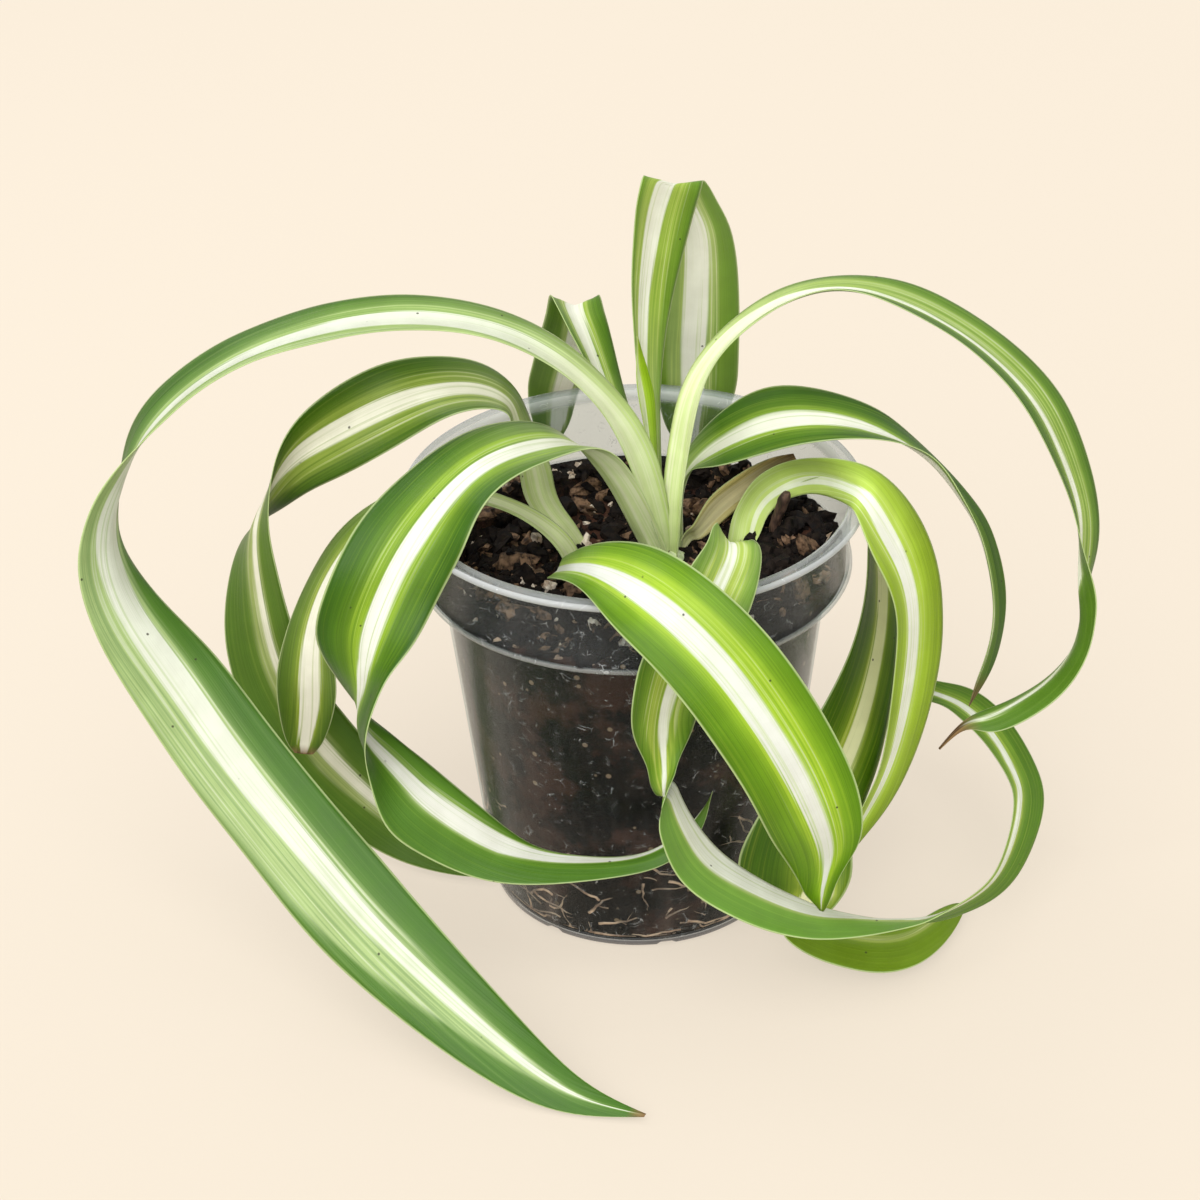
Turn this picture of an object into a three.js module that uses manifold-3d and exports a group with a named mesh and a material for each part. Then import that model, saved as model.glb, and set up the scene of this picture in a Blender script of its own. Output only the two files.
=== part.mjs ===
// A spider plant in a thin clear nursery pot: strap leaves that arch out of one crown and curl down
// round the pot, a pot shell with a flat rim and a stacking collar, and the potting soil in it.
// Millimetres, +Z up. The origin is the middle of the pot's flat base.
import * as THREE from "three";
import { mergeVertices } from "three/addons/utils/BufferGeometryUtils.js";
import Module from "manifold-3d";

// Pot: heights and outer radii of the moulded shell.
const potHeight = 117;
const rimRadius = 59.5;
const rimLip = 2;
const rimRounding = 0.6;
const rimInnerRounding = 1;
const collarRadius = 55.8;
const ridgeRadius = 56.3;
const ridgeHeight = 2.4;
const collarFoot = 95;
const collarDraft = 0.4;
const wallTopRadius = 50.3;
const baseRadius = 40;
const potWall = 1;
const baseThickness = 1.4;
const baseRounding = 1.6;
const potSides = 56;
const drainHoles = 5;
const drainHoleRadius = 4.5;
const drainHoleCircle = 24;
const drainHoleTurn = 0.3;
const footNotches = 8;
const notchWidth = 3;
const notchHeight = 1.4;
const notchDepth = 2.2;
const notchTurn = 0.16;

// Soil: its mean level, the slope of its top, and the size of its crumbs.
const soilLevel = 95.5;
const soilMargin = 5;
const soilOverCollar = 0.5;
const crownDip = 7;
const crownDipReach = 36;
const soilSlopeX = 0.07;
const soilSlopeY = -0.06;
const soilCrumb = 1.2;
const soilRings = 11;
const soilSides = 44;
const soilSeed = 7;
const seatGap = 0.3;

// Crown: the short white stem that the leaf bases wrap, standing in a hole in the soil.
const crownCentre = new THREE.Vector3(9, 7, 96);
const crownReach = 21;
const crownStemRadius = 8;
const crownStemTop = 101;
const crownStemFoot = 84;
const holeClearance = 0.5;
const rootHoleSpare = 2.2;

// Leaf blades: thickness, how finely a route is stepped, and how deep the roots of the four leaves
// outside the crown reach.
const bladeThickness = 0.7;
const stepsPerStretch = 2;
const stripsAcross = 4;
const crossSmoothing = 2;
const leastWidth = 0.9;
const rootDepth = 8;
const rootTaper = 0.8;

// Twig: a dry brown stub that stands in the soil by the right-hand leaves.
const twigFoot = new THREE.Vector3(36, 15, 90);
const twigTip = new THREE.Vector3(40, 10, 109);
const twigRadius = 1.6;
const twigHoleSpare = 2.8;

// One route for each leaf, from its base to its tip. Each row is a place on the midline (x, y, z), the
// compass heading and the tilt in degrees of the line across the blade from its first edge to its second,
// the blade's width there, and how deep the midrib lies below the edges.
const leafRoutes = {
  leaf_long_left: [
    [9, 4, 96, 60, -30, 7, 1.5],
    [5, 4, 115, 45, 15, 9, 2],
    [-1, 4, 133, 50, -15, 11, 2],
    [-11, 5, 146, 70, -5, 13, 2],
    [-22, 6, 155, 75, 0, 15, 2],
    [-36, 7, 160, 85, 0, 17, 2],
    [-54, 9, 162, 90, 5, 18, 2],
    [-71, 8, 161, 95, 5, 19, 2],
    [-87, 6, 158, 100, 0, 20, 2],
    [-102, 3, 153, 105, -5, 20, 2],
    [-115, 0, 145, 105, -10, 20, 2],
    [-126, -5, 136, 95, -20, 20, 2],
    [-133, -10, 126, 90, -30, 20, 3],
    [-133, -16, 119, 70, -25, 20, 3],
    [-133, -20, 109, 60, -15, 20, 3],
    [-127, -25, 96, 45, 0, 21, 2],
    [-116, -31, 82, 25, 20, 23.5, 1.5],
    [-104, -39, 65, 20, 25, 25, 1],
    [-89, -50, 49, 20, 30, 25.5, 1],
    [-72, -63, 32, 30, 40, 26.5, 1],
    [-54, -77, 20, 35, 40, 22.5, 1],
    [-34, -92, 9, 50, 30, 16.5, 1],
    [-18, -102, 3, 45, 35, 9, 0.5],
    [-1, -107, 2, 55, 20, 1, 0],
  ],
  leaf_left_upper: [
    [-12, 12, 94, 55, -10, 8, 1.5],
    [-23, 14, 103, 35, -20, 10, 2],
    [-25, 14, 116, 35, -10, 12, 2],
    [-26, 17, 127, 55, -10, 15, 2],
    [-28, 20, 136, 75, -5, 17, 1.5],
    [-39, 20, 137, 90, 10, 20, 1.5],
    [-51, 19, 137, 100, 25, 21, 1.5],
    [-65, 17, 132, 105, 60, 22, 1.5],
    [-79, 14, 125, 175, 75, 22, 2],
    [-88, 12, 118, -115, 65, 21, 3],
    [-94, 11, 107, -90, 35, 20, 3],
    [-99, 13, 97, -60, 15, 20, 2.5],
    [-101, 14, 82, -35, 15, 20, 2],
    [-101, 14, 65, -15, 5, 21, 1.5],
    [-98, 13, 50, 5, 25, 21, 1.5],
    [-91, 10, 37, 30, 40, 24, 1.5],
    [-79, 6, 23, 35, 40, 22.5, 1],
    [-64, 2, 10, 35, 45, 19, 1],
    [-51, -6, 7, 35, 45, 12.5, 1],
    [-42, -10, 4, 60, 55, 4, 0.5],
  ],
  leaf_left_low: [
    [-16, 0, 98, 60, -5, 8, 1],
    [-23, 0, 107, 80, -5, 9, 1],
    [-34, 0, 114, 80, -15, 11, 1],
    [-48, -7, 121, 85, -5, 13, 1],
    [-62, -9, 117, 100, 5, 15, 1],
    [-75, -8, 104, 110, 0, 16.5, 1.5],
    [-84, -6, 84, 130, -10, 17, 1.5],
    [-88, -6, 67, 145, -10, 17, 1.5],
    [-88, -6, 55, 160, -10, 14.5, 2],
    [-89, -6, 45, 155, -10, 8, 1.5],
    [-90, -6, 39, 165, 25, 1, 0],
  ],
  leaf_left_front: [
    [5, 5, 97, 150, -15, 8, 1.5],
    [0, 2, 111, 140, -20, 10, 1.5],
    [-5, -1, 123, 135, -25, 12, 1.5],
    [-13, -5, 134, 130, -5, 15, 1.5],
    [-24, -11, 137, 115, 10, 19, 1.5],
    [-34, -17, 137, 120, 5, 23, 1.5],
    [-42, -22, 134, 125, 5, 25, 1.5],
    [-50, -29, 128, 135, 5, 27, 1.5],
    [-58, -36, 118, 170, 15, 27, 1.5],
    [-65, -40, 104, 175, 5, 27, 1.5],
    [-69, -42, 93, 135, -15, 27, 2],
    [-69, -43, 84, 115, -25, 25, 2],
    [-68, -45, 74, 90, -30, 23, 2],
    [-63, -47, 64, 70, 10, 22, 1.5],
    [-58, -50, 57, 55, 25, 21, 1.5],
    [-48, -52, 49, 50, 30, 19, 1],
    [-37, -53, 41, 60, 20, 16, 1],
    [-24, -54, 37, 80, 10, 11, 1],
    [-6, -54, 37, 95, 10, 7, 0.7],
    [5, -54, 40, 100, 10, 5.5, 0.7],
    [14, -52, 47, 150, 40, 3.5, 0.5],
    [18, -50, 57, 90, -45, 1, 0],
  ],
  leaf_front: [
    [4, 2, 96, -125, 5, 7, 1],
    [-7, -9, 98, -100, 10, 11, 1],
    [-17, -14, 101, -105, 10, 14, 1],
    [-21, -22, 106, -105, 15, 16, 1],
    [-15, -40, 118, -95, 5, 18, 1],
    [-6, -53, 123, -110, -15, 22, 1.5],
    [6, -68, 122, -145, -45, 23.5, 1.5],
    [18, -75, 112, -155, -35, 25, 1.5],
    [27, -79, 100, -160, -30, 25.5, 1.5],
    [36, -81, 84, -160, -30, 25, 1.5],
    [42, -80, 67, 165, -35, 25, 1.5],
    [45, -77, 54, 150, -35, 22, 2],
    [45, -74, 44, 145, -40, 15, 2],
    [44, -71, 35, 130, -15, 1.5, 0],
  ],
  leaf_front_loop: [
    [13, 2, 96, -125, 40, 8, 1.5],
    [18, -12, 100, -175, 35, 9, 1.5],
    [22, -25, 112, -155, 40, 14, 1.5],
    [25, -39, 122, 155, 35, 11.5, 1.5],
    [24, -52, 121, 160, 25, 12, 1],
    [20, -62, 120, 160, 30, 13.5, 1],
    [13, -65, 110, 160, 25, 16.5, 1],
    [7, -64, 99, -170, 35, 20, 1],
    [5, -63, 87, -155, 30, 19, 1],
    [5, -63, 75, 175, 5, 9, 1.5],
    [4, -64, 64, 90, -30, 18, 3],
    [8, -67, 60, 65, -10, 18.5, 3],
    [14, -68, 47, 60, -5, 19, 3],
    [26, -69, 38, 75, 0, 18.5, 3],
    [40, -68, 30, 80, -5, 17, 2.5],
    [52, -66, 26, 85, -15, 15, 2],
    [66, -62, 23, 85, -30, 13, 1.5],
    [76, -56, 20, 70, -40, 13, 1.2],
    [90, -45, 19, 55, -45, 13, 1.2],
    [99, -31, 20, 45, -30, 14, 1.5],
    [105, -14, 25, 40, -25, 14, 1.5],
    [104, -3, 29, 45, -10, 13, 1.5],
    [98, 8, 35, 55, 10, 12.5, 1.5],
    [91, 16, 38, 70, 15, 12, 1],
    [84, 22, 38, 85, 5, 9, 1],
    [78, 27, 36, 70, 55, 3.5, 0],
  ],
  leaf_right_front: [
    [28, 11, 94, -75, 25, 7, 2],
    [30, 14, 104, -80, 15, 10, 3],
    [36, 16, 110, -90, 20, 12, 4],
    [44, 11, 116, -85, 15, 13, 3.5],
    [51, -8, 124, -85, 5, 11, 2],
    [56, -16, 124, -105, -10, 16, 1.5],
    [62, -18, 116, -120, -5, 20, 1.5],
    [69, -19, 103, -130, 10, 21, 1.5],
    [72, -20, 86, -130, 25, 21.5, 1.5],
    [71, -21, 67, -130, 25, 21, 1.5],
    [68, -24, 52, -125, 15, 19, 1.5],
    [63, -29, 40, -120, 35, 15, 1.5],
    [57, -34, 32, -135, 45, 9, 1],
    [53, -38, 25, -105, 50, 1.5, 0],
  ],
  leaf_right_behind: [
    [31, 17, 92, -70, 15, 5, 1],
    [36, 20, 102, -80, 15, 6, 1],
    [43, 18, 108, -85, 15, 6.5, 1],
    [51, 8, 116, -90, 15, 7, 1],
    [56, -3, 121, -100, 10, 8, 1],
    [61, -9, 116, -120, 5, 10, 1],
    [64, -4, 97, -125, 30, 18, 1.5],
    [64, -6, 80, -130, 35, 20, 1.5],
    [60, -11, 64, -145, 40, 21, 1.5],
    [51, -22, 50, -155, 35, 21, 1.5],
    [40, -34, 37, -165, 35, 20.5, 1.5],
    [33, -43, 26, -175, 25, 18, 1.5],
    [34, -45, 16, 160, 30, 12, 1.5],
    [38, -43, 10, 110, 10, 14, 1.5],
    [45, -46, 6, 80, 5, 14, 1],
    [52, -49, 6, 80, 10, 14, 1],
    [61, -52, 6, 85, 10, 14, 1],
    [70, -50, 6, 95, 15, 12.5, 1],
    [78, -41, 5, 105, 15, 10.5, 1],
    [84, -33, 4, 100, 10, 6.5, 0.5],
    [87, -30, 4, 90, 0, 1, 0],
  ],
  leaf_right_arc: [
    [10, 4, 96, -60, 20, 7, 2],
    [10, 5, 110, -55, 25, 9, 2.5],
    [12, 6, 125, -55, 20, 10, 2.5],
    [15, 7, 141, -60, 25, 11, 2],
    [22, 8, 153, -65, 20, 12, 2],
    [32, 8, 162, -75, 15, 13, 2],
    [44, 7, 168, -85, 15, 14, 2],
    [56, 6, 169, -100, 15, 15, 2],
    [70, 4, 165, -105, 5, 16, 2],
    [84, 2, 157, -115, 10, 17, 2],
    [96, 0, 147, -125, 10, 17, 2],
    [104, -2, 136, -125, 15, 17, 2],
    [111, -3, 121, -130, 20, 16.5, 2],
    [115, -5, 109, -125, 30, 16, 2],
    [117, -7, 99, -110, 35, 15, 2],
    [119, -9, 88, -90, 30, 14, 2],
    [117, -11, 84, -70, 20, 14, 2],
    [115, -13, 74, -60, 15, 14, 1.5],
    [110, -15, 64, -60, 10, 13, 1.5],
    [101, -16, 57, -60, 10, 11, 1.5],
    [92, -17, 54, -70, -5, 8, 1],
    [84, -18, 54, -80, -10, 2.5, 0.3],
    [79, -19, 47, -75, 10, 1, 0],
  ],
  leaf_right_dark: [
    [12, 13, 92, -75, 20, 6, 1.5],
    [11, 15, 104, -75, 25, 8, 2],
    [13, 16, 112, -75, 20, 9, 2],
    [16, 17, 116, -85, 5, 13, 2],
    [23, 17, 121, -90, -30, 17, 1.5],
    [35, 15, 128, -85, -30, 20, 1.5],
    [48, 13, 130, -90, -15, 20, 1.5],
    [59, 11, 129, -95, -5, 18, 2],
    [68, 9, 125, -100, 15, 15, 2],
    [78, 7, 120, -95, 30, 13, 2],
    [85, 4, 111, -110, 25, 12, 2],
    [91, 2, 101, -115, 25, 11, 2],
    [94, 0, 88, -110, 25, 11, 2],
    [95, -1, 76, -110, 35, 10, 1.5],
    [94, -2, 65, -110, 35, 9, 1.5],
    [91, -2, 55, -130, 40, 5, 1],
    [89, -2, 49, -110, 45, 1, 0],
  ],
  leaf_centre_tall: [
    [8, 13, 92, 65, -30, 6, 1.5],
    [7, 20, 105, 70, -30, 8, 1.5],
    [6, 24, 121, 60, -30, 9, 2],
    [5, 26, 136, 55, -35, 13, 2.5],
    [6, 29, 156, 50, -25, 18, 3],
    [9, 31, 173, 40, -30, 22, 3.5],
    [11, 32, 184, 40, -25, 23, 4],
    [12, 37, 185, 45, -25, 23, 4],
    [16, 43, 177, 30, -30, 23.5, 3],
    [18, 49, 162, 30, -25, 23.5, 2.5],
    [19, 55, 140, 15, -10, 23.5, 2],
    [19, 59, 127, 5, -5, 23, 2],
    [19, 63, 113, 5, -5, 22, 2],
    [18, 64, 100, 5, -5, 15, 1.5],
    [18, 64, 87, 65, -30, 1.5, 0],
  ],
  leaf_centre_small: [
    [6, 12, 95, 70, -20, 6, 1.5],
    [3, 14, 109, 70, -20, 8, 1.5],
    [0, 18, 122, 65, -20, 11, 2],
    [-4, 23, 129, 50, -30, 14, 2.5],
    [-7, 28, 138, 50, -30, 16, 2.5],
    [-10, 33, 145, 50, -20, 17, 3],
    [-13, 39, 151, 45, -20, 17.5, 3.5],
    [-14, 45, 150, 40, -20, 17, 3.5],
    [-15, 51, 143, 40, -25, 17, 3],
    [-17, 57, 132, 25, -25, 17, 2.5],
    [-19, 62, 120, 25, -25, 17, 2],
    [-21, 66, 111, 25, -25, 16, 2],
    [-22, 67, 100, 15, -20, 10, 1.5],
    [-23, 67, 91, 75, -30, 1.5, 0],
  ],
  leaf_spear: [
    [7, 10, 97, 60, -30, 4.5, 1.2],
    [6, 12, 112, 60, -30, 5, 1.2],
    [5, 14, 126, 50, -25, 5.5, 1.3],
    [4, 14, 136, 40, -20, 6, 1.5],
    [3, 14, 144, 45, -35, 5, 1.5],
    [2, 15, 152, 70, -30, 1, 0],
  ],
  leaf_withered: [
    [14, 13, 94, 60, -45, 5, 0.8],
    [20, 15, 100, 65, -40, 5, 0.8],
    [25, 18, 105, 55, -45, 6, 1],
    [30, 20, 109, 55, -50, 7, 1.2],
    [36, 21, 112, 65, -60, 5, 1],
    [45, 20, 115, 60, -60, 1, 0],
  ],
};

// Leaves whose bases wrap the crown; the others leave the soil on their own.
const crownLeaves = [
  "leaf_long_left",
  "leaf_left_front",
  "leaf_front",
  "leaf_front_loop",
  "leaf_right_arc",
  "leaf_right_dark",
  "leaf_centre_tall",
  "leaf_centre_small",
  "leaf_spear",
  "leaf_withered",
];

const clearPlastic = new THREE.MeshStandardMaterial({ color: 0x6f6b67, roughness: 0.35, metalness: 0 });
const darkSoil = new THREE.MeshStandardMaterial({ color: 0x241b16, roughness: 0.95, metalness: 0 });
const leafGreen = new THREE.MeshStandardMaterial({ color: 0x5c9a2c, roughness: 0.45, metalness: 0 });
const paleStem = new THREE.MeshStandardMaterial({ color: 0xdde6c0, roughness: 0.5, metalness: 0 });
const dryLeaf = new THREE.MeshStandardMaterial({ color: 0xb79a5a, roughness: 0.8, metalness: 0 });
const dryWood = new THREE.MeshStandardMaterial({ color: 0x4a3226, roughness: 0.9, metalness: 0 });

const wasm = await Module();
wasm.setup();

function solid(geometry) {
  const bare = geometry.clone();
  bare.deleteAttribute("normal");
  bare.deleteAttribute("uv");
  const merged = mergeVertices(bare, 1e-4);
  const made = new wasm.Mesh({
    numProp: 3,
    vertProperties: new Float32Array(merged.attributes.position.array),
    triVerts: new Uint32Array(merged.index.array),
  });
  return new wasm.Manifold(made);
}

function surface(made) {
  const mesh = made.getMesh();
  const geometry = new THREE.BufferGeometry();
  geometry.setAttribute("position", new THREE.BufferAttribute(mesh.vertProperties, 3));
  geometry.setIndex(new THREE.BufferAttribute(mesh.triVerts, 1));
  geometry.computeVertexNormals();
  return geometry;
}

// The largest body of a solid, so that a cut leaves no loose scraps behind.
function mainBody(made) {
  const bodies = made.decompose();
  return bodies.reduce((most, body) => (body.volume() > most.volume() ? body : most));
}

// Catmull-Rom value at t between the second and third of four numbers.
function through(a, b, c, d, t) {
  const cubic = (-a + 3 * b - 3 * c + d) * t * t * t;
  const square = (2 * a - 5 * b + 4 * c - d) * t * t;
  return 0.5 * (2 * b + (c - a) * t + square + cubic);
}

// A route row as plain numbers: place, across direction, width and midrib depth.
function rowValues([x, y, z, heading, tilt, width, midrib]) {
  const h = THREE.MathUtils.degToRad(heading);
  const t = THREE.MathUtils.degToRad(tilt);
  return [x, y, z, Math.cos(t) * Math.cos(h), Math.cos(t) * Math.sin(h), Math.sin(t), width, midrib];
}

// The row that lies one stretch before row a, in line with rows a and b.
const reflected = (a, b) => a.map((value, i) => 2 * value - b[i]);

// Frames along a leaf: place, direction, across line, face normal, width and midrib depth.
function framesAlong(route) {
  const rows = route.map(rowValues);
  rows.unshift(reflected(rows[0], rows[1]));
  rows.push(reflected(rows.at(-1), rows.at(-2)));
  const samples = [];
  for (let i = 0; i + 3 < rows.length; i++) {
    for (let step = 0; step < stepsPerStretch; step++) {
      samples.push(rows[i].map((_, k) =>
        through(rows[i][k], rows[i + 1][k], rows[i + 2][k], rows[i + 3][k], step / stepsPerStretch)));
    }
  }
  samples.push(rows.at(-2));
  const places = samples.map((s) => new THREE.Vector3(s[0], s[1], s[2]));
  let across = samples.map((s) => new THREE.Vector3(s[3], s[4], s[5]).normalize());
  for (let pass = 0; pass < crossSmoothing; pass++) {
    across = across.map((v, i) => {
      const before = across[Math.max(i - 1, 0)];
      const after = across[Math.min(i + 1, across.length - 1)];
      return v.clone().multiplyScalar(2).add(before).add(after).normalize();
    });
  }
  return places.map((place, i) => {
    const ahead = places[Math.min(i + 1, places.length - 1)];
    const behind = places[Math.max(i - 1, 0)];
    const along = ahead.clone().sub(behind).normalize();
    const cross = across[i].clone().addScaledVector(along, -across[i].dot(along)).normalize();
    const normal = new THREE.Vector3().crossVectors(cross, along);
    const width = Math.max(samples[i][6], leastWidth);
    const midrib = Math.max(samples[i][7], 0);
    return { place, cross, normal, width, midrib };
  });
}

// A strap leaf: a thin V-folded strip swept along its frames, split alike on both faces.
function bladeGeometry(route) {
  const frames = framesAlong(route);
  const points = [];
  const across = stripsAcross + 1;
  for (const side of [1, -1]) {
    for (const { place, cross, normal, width, midrib } of frames) {
      for (let j = 0; j < across; j++) {
        const v = (2 * j) / stripsAcross - 1;
        const rise = (side * bladeThickness) / 2 - midrib * (1 - Math.abs(v));
        const point = place.clone().addScaledVector(cross, (v * width) / 2).addScaledVector(normal, rise);
        points.push(point.x, point.y, point.z);
      }
    }
  }
  const under = frames.length * across;
  const at = (i, j) => i * across + j;
  const triangles = [];
  for (let i = 0; i + 1 < frames.length; i++) {
    for (let j = 0; j < stripsAcross; j++) {
      const [a, b, c, d] = [at(i, j), at(i + 1, j), at(i + 1, j + 1), at(i, j + 1)];
      triangles.push(a, c, b, a, d, c);
      triangles.push(under + a, under + b, under + c, under + a, under + c, under + d);
    }
    const [a, b] = [at(i, 0), at(i + 1, 0)];
    const [c, d] = [at(i, stripsAcross), at(i + 1, stripsAcross)];
    triangles.push(a, b, under + b, a, under + b, under + a);
    triangles.push(c, under + d, d, c, under + c, under + d);
  }
  const last = frames.length - 1;
  for (let j = 0; j < stripsAcross; j++) {
    const [a, b] = [at(0, j), at(0, j + 1)];
    const [c, d] = [at(last, j), at(last, j + 1)];
    triangles.push(a, under + a, under + b, a, under + b, b);
    triangles.push(c, under + d, under + c, c, d, under + d);
  }
  const geometry = new THREE.BufferGeometry();
  geometry.setAttribute("position", new THREE.Float32BufferAttribute(points, 3));
  geometry.setIndex(triangles);
  return geometry;
}

function uprightCylinder(radius, foot, top, x, y, sides = 24) {
  const geometry = new THREE.CylinderGeometry(radius, radius, top - foot, sides);
  geometry.rotateX(Math.PI / 2);
  geometry.translate(x, y, (foot + top) / 2);
  return geometry;
}

// Outer radius of the tapering wall at height z.
const wallRadius = (z) => THREE.MathUtils.lerp(baseRadius, wallTopRadius, z / collarFoot);

// The shell: flat base, tapering wall, step out to a ridge and collar, then a flat rim with a lip.
function potGeometry() {
  const rimInner = collarRadius - potWall;
  const profile = [
    [0, 0],
    [baseRadius - baseRounding, 0],
    [baseRadius - baseRounding / 3, baseRounding / 3],
    [wallRadius(baseRounding), baseRounding],
    [wallTopRadius, collarFoot],
    [ridgeRadius - potWall, collarFoot],
    [ridgeRadius, collarFoot + potWall],
    [ridgeRadius, collarFoot + ridgeHeight],
    [collarRadius - collarDraft, collarFoot + ridgeHeight + potWall],
    [collarRadius, potHeight - rimLip],
    [rimRadius - potWall, potHeight - rimLip],
    [rimRadius, potHeight - rimLip + rimRounding],
    [rimRadius, potHeight - rimRounding],
    [rimRadius - rimRounding, potHeight],
    [rimInner + rimInnerRounding, potHeight],
    [rimInner, potHeight - rimInnerRounding],
    [rimInner - collarDraft, collarFoot + ridgeHeight + potWall],
    [rimInner - collarDraft, collarFoot + potWall],
    [wallTopRadius - potWall, collarFoot + potWall],
    [wallRadius(baseThickness) - potWall, baseThickness],
    [0, baseThickness],
  ];
  const lathe = new THREE.LatheGeometry(profile.map(([r, z]) => new THREE.Vector2(r, z)), potSides);
  lathe.rotateX(Math.PI / 2);
  let shell = solid(lathe);
  for (let i = 0; i < drainHoles; i++) {
    const turn = (2 * Math.PI * i) / drainHoles + drainHoleTurn;
    const [x, y] = [drainHoleCircle * Math.cos(turn), drainHoleCircle * Math.sin(turn)];
    shell = shell.subtract(solid(uprightCylinder(drainHoleRadius, -1, baseThickness + 1, x, y)));
  }
  for (let i = 0; i < footNotches; i++) {
    const notch = new THREE.BoxGeometry(notchDepth * 2, notchWidth, notchHeight * 2);
    notch.translate(baseRadius, 0, 0);
    notch.rotateZ((2 * Math.PI * i) / footNotches + notchTurn);
    shell = shell.subtract(solid(notch));
  }
  return surface(mainBody(shell));
}

// A seeded stream of numbers from 0 to 1.
function seeded(seed) {
  let state = seed;
  return () => {
    state = (Math.imul(state, 1664525) + 1013904223) >>> 0;
    return state / 4294967296;
  };
}

// The soil: it fills the shell to the level line, with a crumbly sloping top and holes for the stems.
function soilGeometry(roots) {
  const draw = seeded(soilSeed);
  const inside = (z) => wallRadius(z) - potWall - seatGap;
  const foot = baseThickness + seatGap;
  const shoulder = collarFoot + potWall + seatGap;
  const collarInside = collarRadius - collarDraft - potWall - seatGap;
  const points = [[0, 0, foot]];
  const rings = [[inside(foot), foot], [inside(collarFoot), collarFoot - 1], [inside(collarFoot), shoulder]];
  for (const [radius, z] of rings) {
    for (let s = 0; s < soilSides; s++) {
      const turn = (2 * Math.PI * s) / soilSides;
      points.push([radius * Math.cos(turn), radius * Math.sin(turn), z]);
    }
  }
  for (let ring = 0; ring < soilRings; ring++) {
    const radius = collarInside * (1 - ring / soilRings);
    for (let s = 0; s < soilSides; s++) {
      const turn = (2 * Math.PI * (s + (ring % 2) / 2)) / soilSides;
      const [x, y] = [radius * Math.cos(turn), radius * Math.sin(turn)];
      const crumb = ring === 0 ? 0 : (draw() - 0.5) * 2 * soilCrumb;
      const fromCrown = Math.hypot(x - crownCentre.x, y - crownCentre.y);
      const dip = crownDip * Math.max(0, 1 - fromCrown / crownDipReach);
      const z = soilLevel + soilSlopeX * x + soilSlopeY * y + crumb - dip;
      const beyondWall = radius > wallTopRadius - soilMargin;
      points.push([x, y, beyondWall ? Math.max(z, shoulder + soilOverCollar) : z]);
    }
  }
  points.push([0, 0, soilLevel - crownDip / 2]);
  const triangles = [];
  const ringCount = rings.length + soilRings;
  const at = (ring, s) => 1 + ring * soilSides + (s % soilSides);
  for (let s = 0; s < soilSides; s++) {
    triangles.push(0, at(0, s + 1), at(0, s));
    for (let ring = 0; ring + 1 < ringCount; ring++) {
      triangles.push(at(ring, s), at(ring, s + 1), at(ring + 1, s));
      triangles.push(at(ring, s + 1), at(ring + 1, s + 1), at(ring + 1, s));
    }
    triangles.push(at(ringCount - 1, s), at(ringCount - 1, s + 1), points.length - 1);
  }
  const geometry = new THREE.BufferGeometry();
  geometry.setAttribute("position", new THREE.Float32BufferAttribute(points.flat(), 3));
  geometry.setIndex(triangles);
  let soil = solid(geometry);
  for (const { x, y, z, radius } of roots) {
    soil = soil.subtract(solid(uprightCylinder(radius, z, potHeight, x, y)));
  }
  return surface(mainBody(soil));
}

// A leaf outside the crown starts with a root that runs down into the soil.
function withRoot(route) {
  const [x, y, z, heading, tilt, width, midrib] = route[0];
  return [[x, y, z - rootDepth, heading, tilt, width * rootTaper, midrib], ...route];
}

const plant = new THREE.Group();
function place(name, geometry, material) {
  const mesh = new THREE.Mesh(geometry, material);
  mesh.name = name;
  plant.add(mesh);
}

// The ball that parts the wrapped leaf bases, which belong to the crown, from the free blades.
function crownBall(radius) {
  const ball = new THREE.IcosahedronGeometry(radius, 3);
  ball.translate(crownCentre.x, crownCentre.y, crownCentre.z);
  return solid(ball);
}

const innerBall = crownBall(crownReach);
const outerBall = crownBall(crownReach + seatGap);
const stem = uprightCylinder(crownStemRadius, crownStemFoot, crownStemTop, crownCentre.x, crownCentre.y);
let crown = solid(stem);
const roots = [
  {
    x: crownCentre.x,
    y: crownCentre.y,
    z: crownStemFoot - holeClearance,
    radius: crownStemRadius + holeClearance,
  },
];

for (const [name, route] of Object.entries(leafRoutes)) {
  const material = name === "leaf_withered" ? dryLeaf : leafGreen;
  if (crownLeaves.includes(name)) {
    const blade = solid(bladeGeometry(route));
    crown = crown.add(blade.intersect(innerBall));
    place(name, surface(mainBody(blade.subtract(outerBall))), material);
  } else {
    const [x, y, z, , , width] = route[0];
    place(name, bladeGeometry(withRoot(route)), material);
    roots.push({ x, y, z: z - rootDepth - holeClearance, radius: width / 2 + rootHoleSpare });
  }
}

place("crown", surface(mainBody(crown)), paleStem);
place("pot_shell", potGeometry(), clearPlastic);

const twigAxis = new THREE.LineCurve3(twigFoot, twigTip);
const twigSection = new THREE.Shape().absarc(0, 0, twigRadius, 0, 2 * Math.PI, false);
const twigSweep = { steps: 4, curveSegments: 8, extrudePath: twigAxis };
place("twig", new THREE.ExtrudeGeometry(twigSection, twigSweep), dryWood);
roots.push({
  x: twigFoot.x,
  y: twigFoot.y,
  z: twigFoot.z - twigHoleSpare,
  radius: twigRadius + twigHoleSpare,
});
place("soil", soilGeometry(roots), darkSoil);

export default plant;
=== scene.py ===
"""A spider plant in a thin clear nursery pot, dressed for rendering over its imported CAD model."""

import math

import bmesh
import bpy
import numpy as np
from mathutils import Matrix, Vector, noise


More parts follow.
